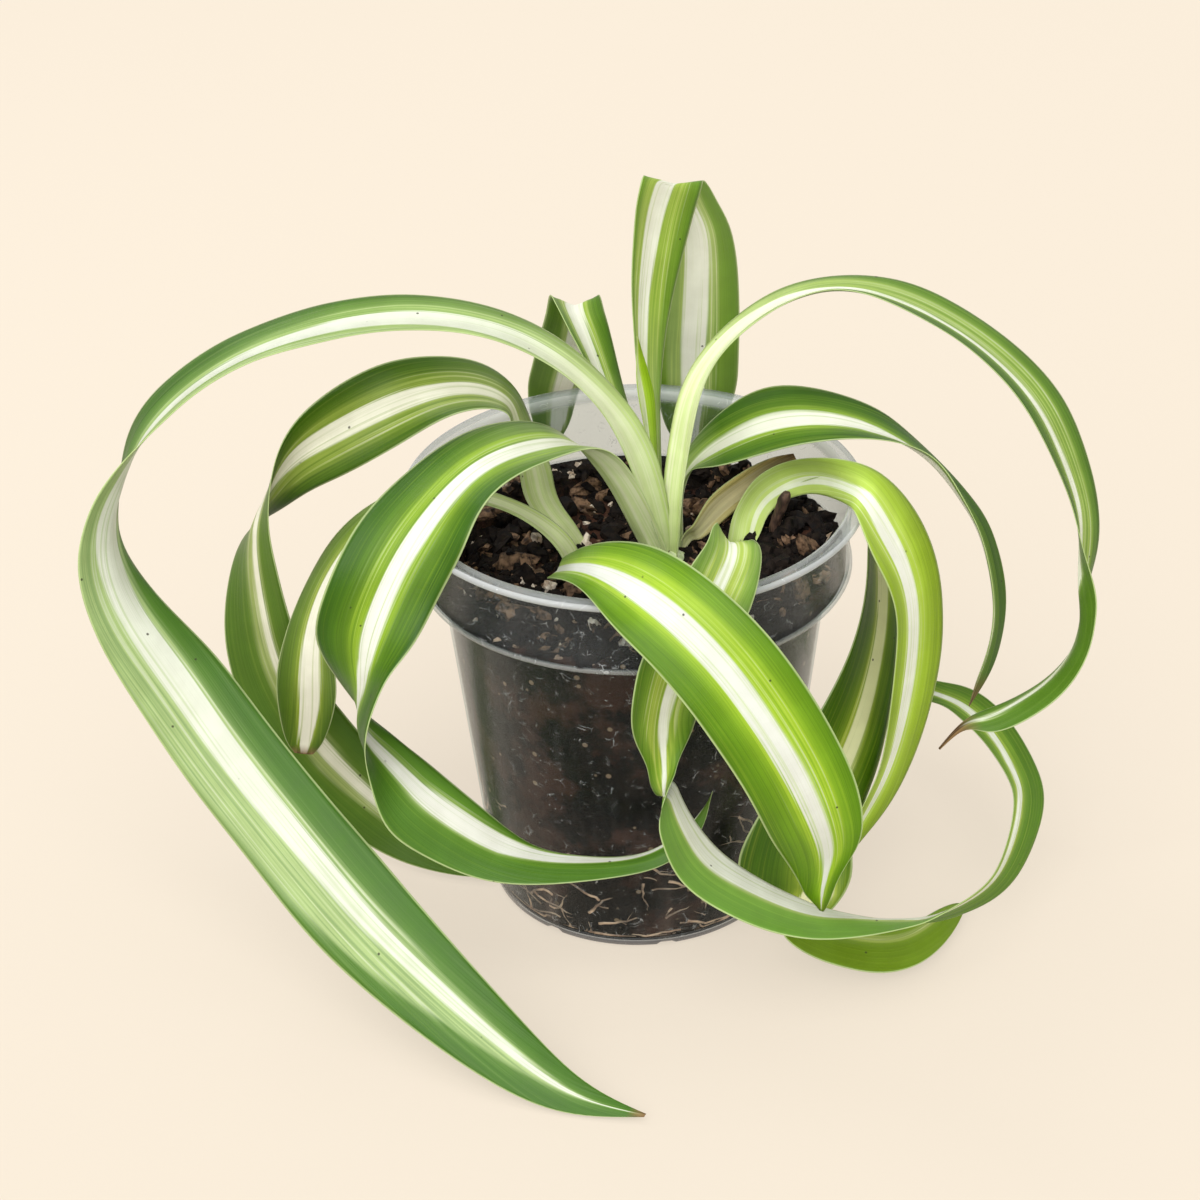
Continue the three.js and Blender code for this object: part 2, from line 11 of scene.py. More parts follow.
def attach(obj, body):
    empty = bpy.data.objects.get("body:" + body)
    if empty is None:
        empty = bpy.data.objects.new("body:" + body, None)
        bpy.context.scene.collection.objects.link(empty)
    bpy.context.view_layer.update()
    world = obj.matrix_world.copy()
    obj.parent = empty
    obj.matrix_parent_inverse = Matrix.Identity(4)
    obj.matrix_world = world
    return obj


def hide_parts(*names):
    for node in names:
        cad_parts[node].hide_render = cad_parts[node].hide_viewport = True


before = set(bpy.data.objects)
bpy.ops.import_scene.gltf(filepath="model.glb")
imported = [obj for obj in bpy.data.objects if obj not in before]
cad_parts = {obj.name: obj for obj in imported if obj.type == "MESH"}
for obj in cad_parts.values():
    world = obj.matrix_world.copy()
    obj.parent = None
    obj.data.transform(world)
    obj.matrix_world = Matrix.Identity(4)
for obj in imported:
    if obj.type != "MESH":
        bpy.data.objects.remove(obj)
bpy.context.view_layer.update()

# Camera: a long lens looks down at the pot from the front, with a slight roll, as the photograph does.
camera_target = Vector((-0.00903, 0.0, 0.08357))
camera_distance = 0.6794
camera_elevation = math.radians(31.05)
camera_roll = math.radians(-1.32)
back = Vector((0, -math.cos(camera_elevation), math.sin(camera_elevation)))
level_right = Vector((1, 0, 0))
level_up = back.cross(level_right)
right = math.cos(camera_roll) * level_right + math.sin(camera_roll) * level_up
up = math.cos(camera_roll) * level_up - math.sin(camera_roll) * level_right
camera = bpy.data.objects.new("camera", bpy.data.cameras.new("camera"))
camera.data.lens = 78
camera.data.sensor_width = 36
camera.matrix_world = Matrix.Translation(camera_target + camera_distance * back) @ Matrix(
    (right, up, back)
).transposed().to_4x4()
bpy.context.scene.collection.objects.link(camera)
bpy.context.scene.camera = camera

# Light: an even pale surround, one overhead softbox and a wide soft sun, so shadows stay faint.
bpy.context.scene.view_settings.view_transform = "Standard"
surround = bpy.data.worlds.new("surround")
surround.use_nodes = True
surround.node_tree.nodes["Background"].inputs["Color"].default_value = (1.0, 0.985, 0.96, 1)
surround.node_tree.nodes["Background"].inputs["Strength"].default_value = 0.88
bpy.context.scene.world = surround


def add_light(name, kind, energy, place, aim):
    """A lamp at place that points at aim."""
    lamp = bpy.data.objects.new(name, bpy.data.lights.new(name, kind))
    lamp.data.energy = energy
    lamp.location = place
    lamp.rotation_euler = (Vector(aim) - Vector(place)).to_track_quat("-Z", "Y").to_euler()
    bpy.context.scene.collection.objects.link(lamp)
    return lamp


softbox = add_light("softbox", "AREA", 1.3, (-0.42, 0.28, 0.75), (-0.02, 0, 0.10))
softbox.data.shape = "RECTANGLE"
softbox.data.size = 0.24
softbox.data.size_y = 0.18
daylight = add_light("daylight", "SUN", 3.05, (-0.28, -0.92, 1.0), (0, 0, 0))
daylight.data.angle = math.radians(70)

# Floor: the plain cream surface that the pot stands on, smooth as paper. It is far wider than the
# camera's view.
floor_half = 4.0
floor_colour = (0.22, 0.195, 0.16, 1)
floor_glow = (0.60, 0.532, 0.445, 1)


def add_mesh(name, points, faces, smooth=True):
    """A new mesh object from points in metres and faces as lists of point numbers."""
    mesh = bpy.data.meshes.new(name)
    mesh.from_pydata([tuple(p) for p in points], [], [tuple(f) for f in faces])
    mesh.polygons.foreach_set("use_smooth", [smooth] * len(mesh.polygons))
    made = bpy.data.objects.new(name, mesh)
    bpy.context.scene.collection.objects.link(made)
    return made


def add_material(name):
    """A new node material: its tree and its Principled shader, ready to be wired."""
    material = bpy.data.materials.new(name)
    material.use_nodes = True
    return material, material.node_tree, material.node_tree.nodes["Principled BSDF"]


def plug(tree, node, sockets):
    """Give a node's input sockets their values, or link them to other nodes' outputs."""
    for socket, value in sockets.items():
        if isinstance(value, bpy.types.NodeSocket):
            tree.links.new(value, node.inputs[socket])
        else:
            node.inputs[socket].default_value = value


def add_node(tree, kind, sockets=None, **settings):
    """A node with settings of its own and its input sockets plugged."""
    made = tree.nodes.new(kind)
    for name, value in settings.items():
        setattr(made, name, value)
    plug(tree, made, sockets or {})
    return made


def own_place(tree):
    """Each point's place in its own object, in metres."""
    return add_node(tree, "ShaderNodeTexCoord").outputs["Object"]


def grain(tree, vector, scale, detail=2.0, roughness=0.5):
    """Noise from 0 to 1 at a scale."""
    sockets = {"Vector": vector, "Scale": scale, "Detail": detail, "Roughness": roughness}
    return add_node(tree, "ShaderNodeTexNoise", sockets).outputs["Fac"]


def bump(tree, strength, distance, height):
    """The surface's normal, tilted as a fine relief of some height would."""
    sockets = {"Strength": strength, "Distance": distance, "Height": height}
    return add_node(tree, "ShaderNodeBump", sockets).outputs["Normal"]


corners = [(-1, -1), (1, -1), (1, 1), (-1, 1)]
floor = add_mesh("floor", [(x * floor_half, y * floor_half, 0) for x, y in corners], [(0, 1, 2, 3)])
paper, tree, shader = add_material("floor_paper")
plug(tree, shader, {
    "Base Color": floor_colour,
    "Emission Color": floor_glow,
    "Emission Strength": 1.0,
    "Roughness": 0.9,
    "Specular IOR Level": 0.1,
    "Normal": bump(tree, 0.05, 0.0003, grain(tree, own_place(tree), 900)),
})
floor.data.materials.append(paper)

# Pot: a thin clear thermoformed nursery pot, hazy and scuffed from use. One sheet makes the flat base,
# the tapering wall, the stacking collar over its ridge and the flat rim, well under a millimetre thick.
pot_sides = 192
pot_wall = 0.0006
collar_foot = 0.095
wall_top_radius = 0.0503
base_radius = 0.040
pot_outline = [
    (0.0384, 0.0), (0.0393, 0.0003), (0.0399, 0.0009), (0.0402, 0.0020), (0.0452, 0.0485),
    (0.0500, 0.0930), (0.0505, 0.0946), (0.0520, 0.0951), (0.0548, 0.0953), (0.0559, 0.0958),
    (0.0563, 0.0966), (0.0562, 0.0975), (0.0556, 0.0983), (0.0554, 0.0995), (0.0557, 0.1140),
    (0.0560, 0.1149), (0.0568, 0.1152), (0.0590, 0.1152), (0.0594, 0.1157), (0.0594, 0.1163),
    (0.0590, 0.1169), (0.0572, 0.1169), (0.0556, 0.1167), (0.0549, 0.1161), (0.0547, 0.1150),
    (0.0548, 0.0995), (0.0550, 0.0985), (0.0556, 0.0975), (0.0555, 0.0967), (0.0548, 0.0960),
    (0.0518, 0.0958), (0.0501, 0.0953), (0.0495, 0.0940), (0.0447, 0.0485), (0.0400, 0.0050),
    (0.0393, 0.0019), (0.0383, 0.0010),
]
notch_spacing = 2 * math.pi / 8
notch_turn = 0.16
notch_half_width = 0.0016
notch_top = 0.0015
notch_height = 0.0008


def spin(outline, sides):
    """Points and faces of a closed outline of (radius, height) turned round the Z axis."""
    points, faces = [], []
    count = len(outline)
    for i in range(sides):
        turn = 2 * math.pi * i / sides
        points += [(r * math.cos(turn), r * math.sin(turn), z) for r, z in outline]
        a, b = i * count, ((i + 1) % sides) * count
        faces += [(a + j, b + j, b + (j + 1) % count, a + (j + 1) % count) for j in range(count)]
    return points, faces


pot_points, pot_faces = spin(pot_outline, pot_sides)
base_foot, base_top = 0, len(pot_outline) - 1
pot_faces.append([i * len(pot_outline) for i in reversed(range(pot_sides))])
pot_faces.append([i * len(pot_outline) + base_top for i in range(pot_sides)])
base_edges = {base_foot, base_top}
pot_faces = [f for f in pot_faces if len(f) > 4 or not base_edges <= {p % len(pot_outline) for p in f}]
for i, (x, y, z) in enumerate(pot_points):
    turn = math.atan2(y, x)
    nearest = round((turn - notch_turn) / notch_spacing) * notch_spacing + notch_turn
    if z < notch_top and abs(turn - nearest) * base_radius < notch_half_width:
        pot_points[i] = (x, y, z + notch_height)
pot = add_mesh("pot_shell_clear", pot_points, pot_faces)


def calc(tree, operation, a, b=0.0, clamp=False):
    """The output of a Math node."""
    return add_node(tree, "ShaderNodeMath", {0: a, 1: b}, operation=operation, use_clamp=clamp).outputs[0]


def times(tree, a, b):
    """One value times another."""
    return calc(tree, "MULTIPLY", a, b)


def plus(tree, a, b, clamp=False):
    """The sum of two values, kept from 0 to 1 where clamp is on."""
    return calc(tree, "ADD", a, b, clamp)


def mix(tree, factor, a, b, mode="MIX"):
    """The colour output of a Mix node that goes from a to b."""
    made = add_node(tree, "ShaderNodeMix", {0: factor, 6: a, 7: b}, data_type="RGBA", blend_type=mode)
    return made.outputs[2]


def step(tree, value, low, high, start=0.0, end=1.0):
    """A smooth rise from start to end while value goes from low to high."""
    sockets = {"Value": value, "From Min": low, "From Max": high, "To Min": start, "To Max": end}
    made = add_node(tree, "ShaderNodeMapRange", sockets, interpolation_type="SMOOTHSTEP")
    return made.outputs["Result"]


def vector(tree, x, y, z=0.0):
    """A vector from three values."""
    return add_node(tree, "ShaderNodeCombineXYZ", {0: x, 1: y, 2: z}).outputs[0]


plastic, tree, shader = add_material("clear_plastic")
place = own_place(tree)
x, y, height = add_node(tree, "ShaderNodeSeparateXYZ", {0: place}).outputs
unrolled = vector(tree, times(tree, calc(tree, "ARCTAN2", y, x), 6.0), height)
cloud = grain(tree, place, 45, 4, 0.6)
flow = add_node(tree, "ShaderNodeMapping", {"Vector": unrolled, "Scale": (1, 14, 1)}).outputs[0]
streaks = step(tree, grain(tree, flow, 3.5, 5, 0.6), 0.42, 0.75)
bent = add_node(tree, "ShaderNodeMapping", {"Vector": place, "Rotation": (0.4, 0.3, 0.2)}).outputs[0]
warp = add_node(tree, "ShaderNodeTexNoise", {"Vector": bent, "Scale": 60, "Detail": 2}).outputs["Color"]
cracked = {"Vector": mix(tree, 0.02, bent, warp, "ADD"), "Scale": 210}
threads = add_node(tree, "ShaderNodeTexVoronoi", cracked, feature="DISTANCE_TO_EDGE").outputs["Distance"]
patches = step(tree, grain(tree, place, 330, 2), 0.56, 0.63)
scratches = times(tree, step(tree, threads, 0.004, 0.018, 1, 0), patches)
dust_cells = add_node(tree, "ShaderNodeTexVoronoi", {"Vector": place, "Scale": 620})
dust_spots = step(tree, dust_cells.outputs["Distance"], 0.06, 0.16, 1, 0)
dust_pick = step(tree, grain(tree, dust_cells.outputs["Position"], 300, 0), 0.64, 0.68)
dust = times(tree, dust_spots, dust_pick)
rim = step(tree, height, 0.1130, 0.1150)
reach = add_node(tree, "ShaderNodeVectorMath", {0: vector(tree, x, y)}, operation="LENGTH").outputs["Value"]
# Painted highlight: thin milky lines along the rim's inner and outer edges stand in for the bright glints
# there.
inner_edge, outer_edge = step(tree, reach, 0.0555, 0.0562, 1, 0), step(tree, reach, 0.0584, 0.0590)
rim_highlight_lines = times(tree, rim, plus(tree, inner_edge, outer_edge, clamp=True))
# Painted shade: the bottom two or three millimetres of the wall turn dark and nearly opaque, standing in for
# the dark shaded line at the pot's base edge.
foot = step(tree, height, 0.0022, 0.0030, 1, 0)
collar = step(tree, height, 0.0965, 0.1000)
ridge = times(tree, step(tree, height, 0.0955, 0.0962), step(tree, height, 0.0968, 0.0975, 1, 0))
haze = times(tree, streaks, 0.008)
haze_shares = [
    (step(tree, cloud, 0.45, 0.7), 0.004), (scratches, 0.28), (dust, 0.30), (ridge, 0.26),
    (collar, 0.018), (rim, 0.08), (rim_highlight_lines, 0.32),
]
for mask, share in haze_shares:
    haze = plus(tree, haze, times(tree, mask, share))
haze = plus(tree, haze, times(tree, foot, 0.85), clamp=True)
scuffs = bump(tree, 0.25, 0.0004, plus(tree, cloud, scratches))
plug(tree, shader, {
    "Base Color": mix(tree, foot, (0.72, 0.74, 0.74, 1), (0.085, 0.082, 0.088, 1)),
    "Roughness": step(tree, cloud, 0.3, 0.7, 0.22, 0.42),
    "Normal": scuffs,
})
clear = add_node(tree, "ShaderNodeBsdfTransparent", {"Color": (0.80, 0.835, 0.85, 1)})
film = add_node(tree, "ShaderNodeMixShader", {0: haze, 1: clear.outputs[0], 2: shader.outputs[0]})
gloss_look = {"Color": (1, 1, 1, 1), "Roughness": 0.24, "Normal": scuffs}
gloss = add_node(tree, "ShaderNodeBsdfAnisotropic", gloss_look)
facing = add_node(tree, "ShaderNodeLayerWeight", {"Blend": 0.5, "Normal": scuffs}).outputs["Facing"]
glance = plus(tree, times(tree, calc(tree, "POWER", facing, 3.5), 0.42), 0.003)
coated = add_node(tree, "ShaderNodeMixShader", {0: glance, 1: film.outputs[0], 2: gloss.outputs[0]})
plug(tree, tree.nodes["Material Output"], {"Surface": coated.outputs[0]})
pot.data.materials.append(plastic)
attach(pot, "root")
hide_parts("pot_shell")

# Soil: damp peaty potting mix. Its side is pressed against the clear wall and its top is loose and
# lumpy, a little higher on the right, with a hollow round the crown.
soil_sides = 260
soil_rings = 90
soil_level = 0.0955
soil_slope = (0.07, -0.06)
soil_dip = 0.007
soil_dip_reach = 0.036
soil_lumps = [(0.0016, 110, 3.1), (0.0009, 300, 8.2), (0.0007, 800, 5.7)]
crown_centre = (0.009, 0.007)
collar_inside = 0.0546
ledge_reach = 0.0460
ledge_level = 0.0972
soil_side = [
    (0.0, 0.0011), (0.0382, 0.0011), (0.0392, 0.0020), (0.0399, 0.0050), (0.0494, 0.0948),
    (0.0498, 0.0957), (0.0515, 0.0960), (collar_inside, 0.0963),
]


def soil_height(x, y):
    """Height of the soil's lumpy top at a place, never below the pot's ledge near the wall.

    Each of the soil's lumps has a height, the number of them in a metre and a seed.
    """
    dip = soil_dip * max(0, 1 - math.hypot(x - crown_centre[0], y - crown_centre[1]) / soil_dip_reach)
    lumps = sum(high * noise.noise((x * often, y * often, seed)) for high, often, seed in soil_lumps)
    z = soil_level + soil_slope[0] * x + soil_slope[1] * y + lumps - dip
    return max(z, ledge_level) if math.hypot(x, y) > ledge_reach else z


def circle(radius, sides):
    """Places (x, y) evenly round a circle."""
    turns = [2 * math.pi * s / sides for s in range(sides)]
    return [(radius * math.cos(turn), radius * math.sin(turn)) for turn in turns]


def ring_faces(rings, sides, first=0):
    """Four-cornered faces between rings of points that follow one another."""
    faces = []
    for ring in range(rings - 1):
        for s in range(sides):
            a, b = first + ring * sides + s, first + ring * sides + (s + 1) % sides
            faces.append((a, b, b + sides, a + sides))
    return faces


soil_points = [(x, y, z) for r, z in soil_side[1:] for x, y in circle(r, soil_sides)]
for ring in range(soil_rings):
    around = circle(collar_inside * (1 - ring / soil_rings), soil_sides)
    soil_points += [(x, y, soil_height(x, y)) for x, y in around]
soil_points.append((0, 0, soil_height(0, 0)))
soil_points.append((0, 0, soil_side[0][1]))
ring_count = len(soil_side) - 1 + soil_rings
soil_faces = ring_faces(ring_count, soil_sides)
last = (ring_count - 1) * soil_sides
for s in range(soil_sides):
    soil_faces.append((last + s, last + (s + 1) % soil_sides, len(soil_points) - 2))
    soil_faces.append(((s + 1) % soil_sides, s, len(soil_points) - 1))
soil = add_mesh("soil_body", soil_points, soil_faces)

earth, tree, shader = add_material("damp_soil")
place = own_place(tree)
clods = grain(tree, place, 160, 6, 0.65)
fine = grain(tree, place, 900, 4, 0.7)
colour = mix(tree, step(tree, clods, 0.35, 0.7), (0.003, 0.0025, 0.002, 1), (0.022, 0.014, 0.009, 1))
colour = mix(tree, step(tree, fine, 0.52, 0.75, 0, 0.7), colour, (0.050, 0.034, 0.024, 1))
warm = step(tree, grain(tree, place, 48, 5, 0.65), 0.48, 0.62)
colour = mix(tree, times(tree, warm, 0.60), colour, (0.125, 0.052, 0.032, 1))
clods_pale = step(tree, grain(tree, place, 75, 5, 0.7), 0.66, 0.70, 0, 0.8)
colour = mix(tree, clods_pale, colour, (0.260, 0.165, 0.105, 1))
cells = add_node(tree, "ShaderNodeTexVoronoi", {"Vector": place, "Scale": 330})
spots = step(tree, cells.outputs["Distance"], 0.16, 0.30, 1, 0)
rare = step(tree, grain(tree, cells.outputs["Position"], 210, 0), 0.63, 0.66)
plug(tree, shader, {
    "Base Color": mix(tree, times(tree, spots, rare), colour, (0.38, 0.25, 0.15, 1)),
    "Roughness": step(tree, fine, 0.3, 0.7, 0.55, 0.95),
    "Specular IOR Level": 0.15,
    "Normal": bump(tree, 0.9, 0.0012, plus(tree, clods, fine)),
})
soil.data.materials.append(earth)
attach(soil, "root")
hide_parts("soil")

# Crumbs: loose bits of peat, bark and pale perlite that lie on the soil. Each is an uneven little lump
# that sits partly in it.
crumb_count = 1900
crumb_least, crumb_most = 0.0008, 0.0034
crumb_field = 0.0525
peat_share, peat_and_bark_share = 0.75, 0.900
perlite_size = 0.72
bark_stretch, round_stretch = (1.3, 2.6), (0.9, 1.4)
crumb_rarity = 4.0
lump_flatness = 0.7
lump_variety = 900
crumb_draw = np.random.default_rng(21)


def add_lumps(name, spots, draw):
    """One mesh of uneven lumps, one for each spot: place, size, stretch and material number."""
    made = bmesh.new()
    bmesh.ops.create_icosphere(made, subdivisions=2, radius=1)
    ball = np.array([vert.co for vert in made.verts])
    ball_faces = np.array([[vert.index for vert in face.verts] for face in made.faces])
    made.free()
    points, faces, kinds = [], [], []
    for place, size, stretch, kind in spots:
        spun = np.array(Matrix.Rotation(draw.uniform(0, 6.3), 3, Vector(draw.normal(size=3)).normalized()))
        shifted = ball * 1.3 + lump_variety * np.array(place)
        finer = ball * 3.1 + lump_variety * np.array(place)
        swell = [0.95 + 0.75 * noise.noise(a) + 0.35 * noise.noise(b) for a, b in zip(shifted, finer)]
        faces.append(ball_faces + len(ball) * len(points))
        stretched = ball * np.array(swell)[:, None] * size * (stretch, 1, lump_flatness)
        points.append(stretched @ spun.T + place)
        kinds += [kind] * len(ball_faces)
    lumps = add_mesh(name, np.concatenate(points), np.concatenate(faces), smooth=False)
    lumps.data.polygons.foreach_set("material_index", kinds)
    return lumps


spots = []
while len(spots) < crumb_count:
    x, y = crumb_draw.uniform(-crumb_field, crumb_field, 2)
    if math.hypot(x, y) > crumb_field:
        continue
    size = crumb_least + (crumb_most - crumb_least) * crumb_draw.random() ** crumb_rarity
    kind = int(np.searchsorted([peat_share, peat_and_bark_share], crumb_draw.random()))
    if kind == 2:
        size *= perlite_size
    stretch = crumb_draw.uniform(*(bark_stretch if kind == 1 else round_stretch))
    spots.append(((x, y, soil_height(x, y) + size / 4), size, stretch, kind))
crumbs = add_lumps("soil_crumbs", spots, crumb_draw)

crumb_looks = [
    ("peat_crumb", (0.003, 0.002, 0.002, 1), (0.017, 0.011, 0.008, 1), 0.85),
    ("bark_chip", (0.020, 0.011, 0.007, 1), (0.250, 0.150, 0.090, 1), 0.7),
    ("perlite_grain", (0.330, 0.235, 0.165, 1), (0.800, 0.700, 0.580, 1), 0.8),
]
for name, dark, light, rough in crumb_looks:
    material, tree, shader = add_material(name)
    mottle = grain(tree, own_place(tree), 420, 4, 0.6)
    plug(tree, shader, {
        "Base Color": mix(tree, step(tree, mottle, 0.35, 0.65), dark, light),
        "Roughness": step(tree, mottle, 0.3, 0.7, rough - 0.15, rough),
        "Specular IOR Level": 0.15,
        "Normal": bump(tree, 0.7, 0.0004, mottle),
    })
    crumbs.data.materials.append(material)
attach(crumbs, "root")

# Roots: pale thin living roots that wander over the soil's side inside the wall, most of them near the
# base, and a few bits of bark and grit pressed against the wall at the ridge.
root_draw = np.random.default_rng(5)
root_count = 420
root_gap = 0.00045
root_lowest, root_highest = 0.0035, 0.045
root_stride, root_climb = 0.0016, 0.0012
root_start, root_start_spread = 0.004, 0.028
root_points = (10, 28)
root_radii = (0.00022, 0.00070)
root_taper = 0.75
grit_count = 16
grit_reach, grit_level = 0.0533, 0.0972
grit_turn, grit_turn_spread = -1.75, 0.22
grit_sizes = (0.0005, 0.0013)
grit_stretch = 1.4


def wall_inside(z):
    """Inner radius of the pot's tapering wall at a height."""
    return base_radius + (wall_top_radius - base_radius) * z / collar_foot - pot_wall


def sleeve(rings, sides, first=0):
    """Faces round rings of points that follow one another, with a cap on each end."""
    end = first + (rings - 1) * sides
    caps = [[first + s for s in reversed(range(sides))], [end + s for s in range(sides)]]
    return ring_faces(rings, sides, first) + caps


def tube(name, lines, radii, sides=6):
    """One mesh of thin tubes, each along a line of points with its own radius, thinner to its end."""
    points, faces = [], []
    for line, radius in zip(lines, radii):
        faces += sleeve(len(line), sides, len(points))
        for i, at in enumerate(line):
            ahead = (line[min(i + 1, len(line) - 1)] - line[max(i - 1, 0)]).normalized()
            side = ahead.cross(Vector((0.13, 0.31, 0.94))).normalized()
            over = ahead.cross(side)
            width = radius * (1 - root_taper * i / (len(line) - 1))
            points += [at + x * side + y * over for x, y in circle(width, sides)]
    return add_mesh(name, points, faces)


lines, radii = [], []
for i in range(root_count):
    if i % 2:
        at = lines[-1][len(lines[-1]) // 3]
        turn, z = math.atan2(at.y, at.x), at.z
        heading += root_draw.choice((-1.0, 1.0)) * root_draw.uniform(0.6, 1.1)
    else:
        turn = root_draw.uniform(0, 2 * math.pi)
        z = root_start + root_start_spread * root_draw.random() ** 1.3
        heading = root_draw.uniform(-0.9, 0.9) + (math.pi if root_draw.random() < 0.5 else 0)
    line = []
    for _ in range(root_draw.integers(*root_points)):
        r = wall_inside(z) - root_gap
        line.append(Vector((r * math.cos(turn), r * math.sin(turn), z)))
        heading += root_draw.normal(0, 0.35)
        turn += root_stride * math.cos(heading) / r
        z = min(max(z + root_climb * math.sin(heading), root_lowest), root_highest)
    lines.append(line)
    radii.append(root_draw.uniform(*root_radii))
roots = tube("pale_roots", lines, radii)
spots = []
for turn in root_draw.normal(grit_turn, grit_turn_spread, grit_count):
    place = (grit_reach * math.cos(turn), grit_reach * math.sin(turn), grit_level)
    spots.append((place, root_draw.uniform(*grit_sizes), grit_stretch, 0))
grit = add_lumps("ridge_grit", spots, root_draw)
root_skin, tree, shader = add_material("root_skin")
place = own_place(tree)
mottle = grain(tree, place, 260, 3)
plug(tree, shader, {
    "Base Color": mix(tree, step(tree, mottle, 0.35, 0.65), (0.28, 0.17, 0.11, 1), (0.66, 0.45, 0.30, 1)),
    "Roughness": step(tree, mottle, 0.3, 0.7, 0.5, 0.75),
    "Normal": bump(tree, 0.4, 0.0002, grain(tree, place, 900)),
})
for piece in (roots, grit):
    piece.data.materials.append(root_skin)
    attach(piece, "root")

# Long left leaf: the longest one, a thin ribbed blade of living tissue, as all the green leaves are. It
# grows from the crown, arches out to the left, twists so that its underside shows, and trails down to
# the surface in front of the pot, where its tip rests.
root_foot = (0.009, 0.007, 0.086)
foot_narrowing = 0.7
blade_thickness = 0.00055
edge_thickness = 0.00022
usual_midrib = 0.0015
least_width = 0.0007
samples_per_stretch = 8
strips_across = 16
ripple_height, ripples_per_metre = 0.00045, 45
width_for_ripples, width_for_thickness = 0.015, 0.006
fold_softness = 0.015


def through(rows, steps):
    """Rows of numbers joined by smooth Catmull-Rom stretches, with the row number of each sample."""
    rows = np.array(rows, float)
    padded = np.vstack([2 * rows[0] - rows[1], rows, 2 * rows[-1] - rows[-2]])
    samples, numbers = [], []
    for i in range(len(rows) - 1):
        a, b, c, d = padded[i : i + 4]
        for t in np.arange(steps) / steps:
            cubic, square = (-a + 3 * b - 3 * c + d) * t**3, (2 * a - 5 * b + 4 * c - d) * t**2
            samples.append(0.5 * (2 * b + (c - a) * t + square + cubic))
            numbers.append(i + t)
    return np.array(samples + [rows[-1]]), np.array(numbers + [len(rows) - 1.0])


def smoothed(values, passes):
    """Values evened out along their first axis, with both ends kept."""
    for _ in range(passes):
        values = values.copy()
        values[1:-1] = (values[:-2] + 2 * values[1:-1] + values[2:]) / 4
    return values


def unit(vectors):
    """Vectors brought to length one."""
    return vectors / np.linalg.norm(vectors, axis=1, keepdims=True)


def strap(name, route, stripes, foot=root_foot, wrinkle=1.0, evened=20):
    """A folded strap leaf along its route, from a foot hidden below its first row.

    A route row is a place, the heading and tilt in degrees of the line from the blade's first edge to
    its second, the width and the midrib's depth, which is the usual one where a row has none and less
    than 0 where the midrib stands up. A stripe row is a row number of the route, the four bounds of
    green, lime, white, lime and green from edge to edge, from -1 to 1, then paleness and dryness, each
    0 where a row has none. Evened is how strongly the blade is smoothed along its length: less of it
    leaves a crease sharp. Each ring of points goes over the top face and back along the underside.
    """
    route = [(*row, usual_midrib)[:7] for row in route]
    stripes = np.array([(*row, 0, 0)[:7] for row in stripes])
    _, _, _, heading, tilt, width, midrib = route[0]
    rows = []
    for x, y, z, heading, tilt, width, midrib in [
        (*foot, heading, tilt, width * foot_narrowing, midrib),
        *route,
    ]:
        h, t = math.radians(heading), math.radians(tilt)
        across = (math.cos(t) * math.cos(h), math.cos(t) * math.sin(h), math.sin(t))
        rows.append((x, y, z, *across, width, midrib))
    samples, numbers = through(rows, samples_per_stretch)
    places = smoothed(samples[:, :3], evened)
    cross = unit(smoothed(unit(samples[:, 3:6]), 2 * evened))
    width = smoothed(np.maximum(samples[:, 6], least_width), 6)
    midrib = smoothed(samples[:, 7], 8)
    normal = unit(np.cross(cross, unit(np.gradient(places, axis=0))))
    length = np.concatenate([[0], np.cumsum(np.linalg.norm(np.diff(places, axis=0), axis=1))])
    bands = np.array([np.interp(numbers - 1, stripes[:, 0], stripes[:, k]) for k in range(1, 7)]).T
    v = np.linspace(-1, 1, strips_across + 1)
    v = np.concatenate([v, v[::-1]])
    side = np.repeat([1.0, -1.0], strips_across + 1)
    fold = 1 - np.sqrt(v**2 + fold_softness)
    seed = sum(map(ord, name)) % 97
    waves = [[noise.noise((s, across * 3.0 + seed, 0)) for across in v] for s in length * ripples_per_metre]
    calm = np.minimum(width / width_for_ripples, 1)[:, None]
    waves = np.array(waves) * (wrinkle * ripple_height * np.abs(v) ** 1.5 * calm)
    half = (edge_thickness + (blade_thickness - edge_thickness) * (1 - v**2)) / 2
    taper = np.clip(width / width_for_thickness, 0.35, 1)[:, None]
    rise = waves - midrib[:, None] * fold + side * half * taper
    out = cross[:, None] * (v * 0.5)[None, :, None] * width[:, None, None]
    points = (places[:, None] + out + normal[:, None] * rise[:, :, None]).reshape(-1, 3)
    around = len(v)
    faces = ring_faces(len(places), around)
    end = (len(places) - 1) * around
    for k in range(strips_across):
        faces.append((k, around - 1 - k, around - 2 - k, k + 1))
        faces.append((end + k, end + k + 1, end + around - 2 - k, end + around - 1 - k))
    leaf = add_mesh(name, points, faces)
    marks = {
        "strap": [(across, s * 1000, 0) for s in length for across in v],
        "bands_a": np.repeat(bands[:, :3], around, axis=0),
        "bands_b": np.repeat(bands[:, 3:], around, axis=0),
        "side": [(face < 0, w * 500, seed) for w in width for face in side],
    }
    for attribute, values in marks.items():
        layer = leaf.data.attributes.new(attribute, "FLOAT_VECTOR", "POINT")
        layer.data.foreach_set("vector", np.array(values, np.float32).ravel())
    return leaf


